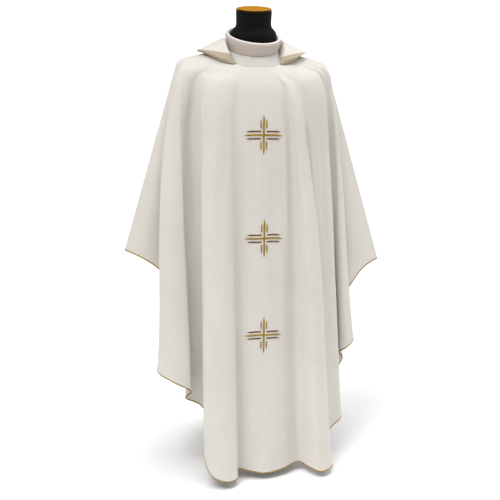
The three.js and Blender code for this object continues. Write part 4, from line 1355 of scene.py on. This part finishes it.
@dataclass
class DressForm:
    """The limbless form that the garment hangs on."""

    segments: int = 128
    cap_radius: float = 53
    cap_top: float = 1493
    cap_thickness: float = 9
    rim_below: float = 1.0
    pole_radius: float = 16
    base_radius: float = 112
    base_thickness: float = 24
    bottom: float = 760
    shoulder_tilt: float = 0.037
    sections: tuple[tuple[float, float, float, float, float], ...] = (
        (1483.7, 54, 54, 54, 0),
        (1440, 54, 54, 54, 0),
        (1430, 61, 61, 61, 0),
        (1422, 67.5, 67.5, 67.5, 0),
        (1408, 70, 70, 70, 0),
        (1392, 70, 70, 70, 0),
        (1376, 66, 66, 66, 0),
        (1362, 74, 60, 66, 1),
        (1350, 112, 50, 68, 1),
        (1338, 154, 58, 74, 1),
        (1324, 192, 68, 80, 1),
        (1306, 212, 78, 88, 1),
        (1280, 217, 94, 96, 1),
        (1235, 214, 116, 106, 0),
        (1160, 196, 124, 108, 0),
        (1070, 174, 114, 100, 0),
        (960, 154, 96, 88, 0),
        (850, 168, 104, 104, 0),
        (760, 178, 108, 114, 0),
    )

    def ring(self, height: float, width: float, front: float, back: float, tilt: float) -> np.ndarray:
        """One section of the body."""
        turn = np.radians(np.arange(self.segments) * 360 / self.segments)
        x, ahead = width * np.sin(turn), np.cos(turn)
        y = -ahead * np.where(ahead >= 0, front, back)
        return np.stack([x, y, height - tilt * self.shoulder_tilt * x], axis=-1)

    def turned(self, name: str, profile: Sequence[Sequence[float]]) -> Object:
        """A closed solid through rings from the top down.

        Args:
            name: the piece's name.
            profile: height, width, front, back and tilt of each ring.

        Returns:
            The piece.
        """
        rings = np.array([self.ring(*section) for section in profile])
        rows, columns = rings.shape[:2]
        faces = quads(rows, columns, True).tolist()
        points = np.concatenate([rings.reshape(-1, 3), rings[[0, -1]].mean(axis=1)])
        top, low, last = rows * columns, rows * columns + 1, (rows - 1) * columns
        for column in range(columns):
            beside = (column + 1) % columns
            faces.append([top, column, beside])
            faces.append([low, last + beside, last + column])
        piece = new_object(name, points, faces, 40)
        lay_flat(piece, np.concatenate([flat_of(rings).reshape(-1, 2), np.zeros((2, 2))]))
        return piece

    def round(self, name: str, profile: Sequence[tuple[float, float]]) -> Object:
        """A round solid through the height and radius of each ring."""
        return self.turned(name, [(z, radius, radius, radius, 0) for z, radius in profile])

    def body(self, finish: Material) -> Object:
        """The jersey-covered body and neck."""
        table = np.array(self.sections, float)
        fine = curve_through(table, places_of([1] * len(table), 6))
        piece = self.turned("form_body_jersey", fine.tolist())
        return declare(piece, "black_jersey", finish, "form_body")

    def cap(self, finish: Material, rim: Material) -> Object:
        """The turned wooden neck cap, with its rim a darker wood colour than its top."""
        top, r, low = self.cap_top, self.cap_radius, self.cap_top - self.cap_thickness
        dome = [(top, 6), (top, r * 0.55), (top - 0.15, r * 0.86), (top - 0.5, r - 2.2), (top - 1.4, r - 0.7)]
        groove = [(top - 2.6, r), (low + 3.4, r), (low + 2.9, r - 0.6), (low + 2.4, r)]
        turned = [*dome, *groove, (low + 1.2, r - 0.3), (low + 0.3, r - 1.2), (low, r - 2)]
        piece = self.round("form_cap_wood", turned)
        declare(piece, "orange_wood", finish, "form_cap")
        piece.data.materials.append(rim)
        for face in piece.data.polygons:
            face.material_index = int(face.center.z < (top - self.rim_below) * MM)
        return piece

    def stand(self, finish: Material) -> list[Object]:
        """The pole and the base plate."""
        r, top, low = self.pole_radius, self.bottom - SEAM, self.base_thickness + SEAM
        ferrule = [(top, r), (top - 40, r), (top - 40.6, r - 0.8), (top - 41.2, r)]
        pole = [*ferrule, (low + 30, r), (low + 29, r - 0.6), (low, r - 0.6)]
        high, rim = self.base_thickness, self.base_radius
        dish = [(high, 26), (high - 0.8, 29), (high - 3, 44), (high - 7, 92), (high - 8.4, 104)]
        base = [*dish, (high - 10.5, 109.5), (high - 14, rim), (2.0, rim), (0.6, rim - 0.6), (0, rim - 2)]
        made = []
        for name, profile in (("form_pole", pole), ("form_base", base)):
            piece = self.round(name + "_metal", profile)
            made.append(declare(piece, "dark_metal", finish, name))
        return made


# Room and camera


@dataclass
class Studio:
    """A plain pale floor, soft light and the camera."""

    azimuth: float = -13
    pitch: float = 19.7
    roll: float = 1.5
    heading: float = 0.115
    distance: float = 3.48
    height: float = 1.9697
    lens: float = 82.66
    room: float = 0.1
    floor_half: float = 14000
    lamps: tuple[tuple[str, float, float, float, float], ...] = (
        ("left_light", -75, 45, 30, 0.55),
        ("key_light", -50, 60, 22, 1.2),
        ("front_light", -12, 50, 40, 0.2),
        ("top_light", 0, 82, 40, 1.75),
        ("right_light", 86, 42, 35, 0.9),
        ("back_light", 135, 35, 40, 0.5),
    )

    def floor(self) -> None:
        """The floor."""
        corners = [(-1, -1, 0), (1, -1, 0), (1, 1, 0), (-1, 1, 0)]
        piece = new_object("studio_floor", np.array(corners, float) * self.floor_half, [(0, 1, 2, 3)])
        plain = {"Roughness": 0.9, "Specular IOR Level": 0.1, "Base Color": (0.93, 0.93, 0.93, 1)}
        piece.data.materials.append(Surface("pale_floor", plain).material)

    def lights(self) -> None:
        """Soft lamps from azimuth, elevation, softness and strength, and a white room."""
        world = bpy.data.worlds.new("white_room")
        bpy.context.scene.world = world
        world.use_nodes = True
        tree = world.node_tree
        background = tree.nodes["Background"]
        background.inputs[0].default_value = (1.0, 1.0, 1.0, 1)
        seen = add_node(tree, "ShaderNodeLightPath", {}, {}).outputs["Is Camera Ray"]
        tree.links.new(add_math(tree, "MAXIMUM", seen, self.room), background.inputs[1])
        for name, azimuth, elevation, softness, strength in self.lamps:
            light = bpy.data.lights.new(name, "SUN")
            light.energy, light.angle = strength, math.radians(softness)
            lamp = add_object(name, light)
            a, e = math.radians(azimuth), math.radians(elevation)
            lamp.location = Vector((math.sin(a) * math.cos(e), -math.cos(a) * math.cos(e), math.sin(e))) * 4
            lamp.rotation_euler = (-lamp.location).to_track_quat("-Z", "Y").to_euler()

    def camera(self) -> None:
        """The camera at the photograph's place."""
        a, h = math.radians(self.azimuth), math.radians(self.heading)
        p, roll = math.radians(self.pitch), math.radians(self.roll)
        ahead, beside = Vector((-math.sin(a), math.cos(a), 0)), Vector((math.cos(a), math.sin(a), 0))
        up = Vector((0, 0, 1))
        level = ahead * math.cos(h) + beside * math.sin(h)
        across = beside * math.cos(h) - ahead * math.sin(h)
        look = level * math.cos(p) - up * math.sin(p)
        fall = -(level * math.sin(p) + up * math.cos(p))
        right = across * math.cos(roll) - fall * math.sin(roll)
        down = fall * math.cos(roll) + across * math.sin(roll)
        data = bpy.data.cameras.new("photo_camera")
        data.sensor_width, data.lens, data.clip_end = 36, self.lens, 60
        camera = add_object("photo_camera", data)
        turned = Matrix((right, -down, -look)).transposed()
        camera.matrix_world = Matrix.Translation(ahead * -self.distance + up * self.height) @ turned.to_4x4()
        bpy.context.scene.camera = camera
        bpy.context.scene.view_settings.view_transform = "Standard"


def surface_tree(piece: Object) -> BVHTree:
    """A piece's faces, for finding where a line meets it."""
    mesh = piece.data
    return BVHTree.FromPolygons([v.co for v in mesh.vertices], [tuple(p.vertices) for p in mesh.polygons])


def main() -> None:
    """Build the garment, the form and the studio."""
    logging.basicConfig(level=logging.INFO, format="%(name)s %(message)s")
    groups = ShaderGroups()
    needle = Needle()
    pale, deep = (220, 216, 209), (209, 203, 194)
    # Painted shade: the roll collar is the ivory cloth painted darker, with a painted highlight along its rim.
    roll_shade_and_highlight_tones = {"light": (197, 185, 176), "deep": (179, 166, 156), "painted_light": (238, 234, 230)}
    ivory = ClothFinish("ivory_cloth", pale, deep).make(groups)
    roll_painted_shade_ivory = ClothFinish("roll_painted_shade_ivory_cloth", threads=8200, **roll_shade_and_highlight_tones).make(groups)
    # Painted shade: the stand under the roll is the ivory cloth painted darker.
    stand_painted_shade_ivory = ClothFinish("stand_painted_shade_ivory_cloth", (206, 203, 197), (196, 191, 184), threads=8200).make(groups)
    # Painted shade along the pointed collar's front edges, over the ivory cloth.
    painted_shade_ivory = ClothFinish("painted_shade_ivory_cloth", pale, deep, painted_light=(177, 164, 139)).make(groups)
    sewing = ClothFinish("ivory_sewing_thread", (226, 219, 204), (205, 196, 178), threads=16000).make(groups)
    braid = ThreadFinish("gold_binding_thread", (190, 156, 52), (116, 84, 20), 0.4).make(groups)
    gold = ThreadFinish("gold_embroidery_thread", (192, 162, 42), (126, 98, 16), 0.3).make(groups)
    # Painted shade: a darker copy of the gold thread, for the short level bars' weaker shine.
    shaded_gold_thread = ThreadFinish("gold_thread_painted_shade", (146, 96, 6), (78, 46, 2), 0.25).make(groups)
    # A darker wood colour for the cap's rim than for its top.
    dark_wood = WoodFinish("darker_rim_wood", (44, 32, 8), (24, 18, 6)).make(groups)
    bodice = Bodice()
    front = Panel("front_panel", FRONT_FOLDS, FRONT_CREASES, -1, 3, (1.62, 1.33), 1.25, bodice)
    back = Panel("back_panel", BACK_FOLDS, BACK_CREASES, 1, 4, (1.62, 1.36), 1.05, bodice)
    places = (("upper", 7.5, 1138, -2, 3.3), ("middle", 13.5, 818, -1, 4.9), ("lower", 16, 504, -0.5, 5.4))
    for panel in (front, back):
        panel.shape()
        cloth = panel.cloth(ivory)
        sewn = [*panel.binding(needle, braid), panel.neck_stitches(needle, sewing)]
        if panel is front:
            surface = surface_tree(cloth)
            for place in places:
                sewn += Cross(*place).sew(needle, surface, gold, shaded_gold_thread)
    collars = Collars(bodice)
    collars.roll(roll_painted_shade_ivory)
    collars.stand(stand_painted_shade_ivory)
    collars.cape(painted_shade_ivory)
    form = DressForm()
    form.body(JerseyFinish().make(groups))
    form.cap(WoodFinish().make(groups), dark_wood)
    form.stand(MetalFinish().make(groups))
    studio = Studio()
    studio.floor()
    studio.lights()
    studio.camera()


if __name__ == "__main__":
    main()
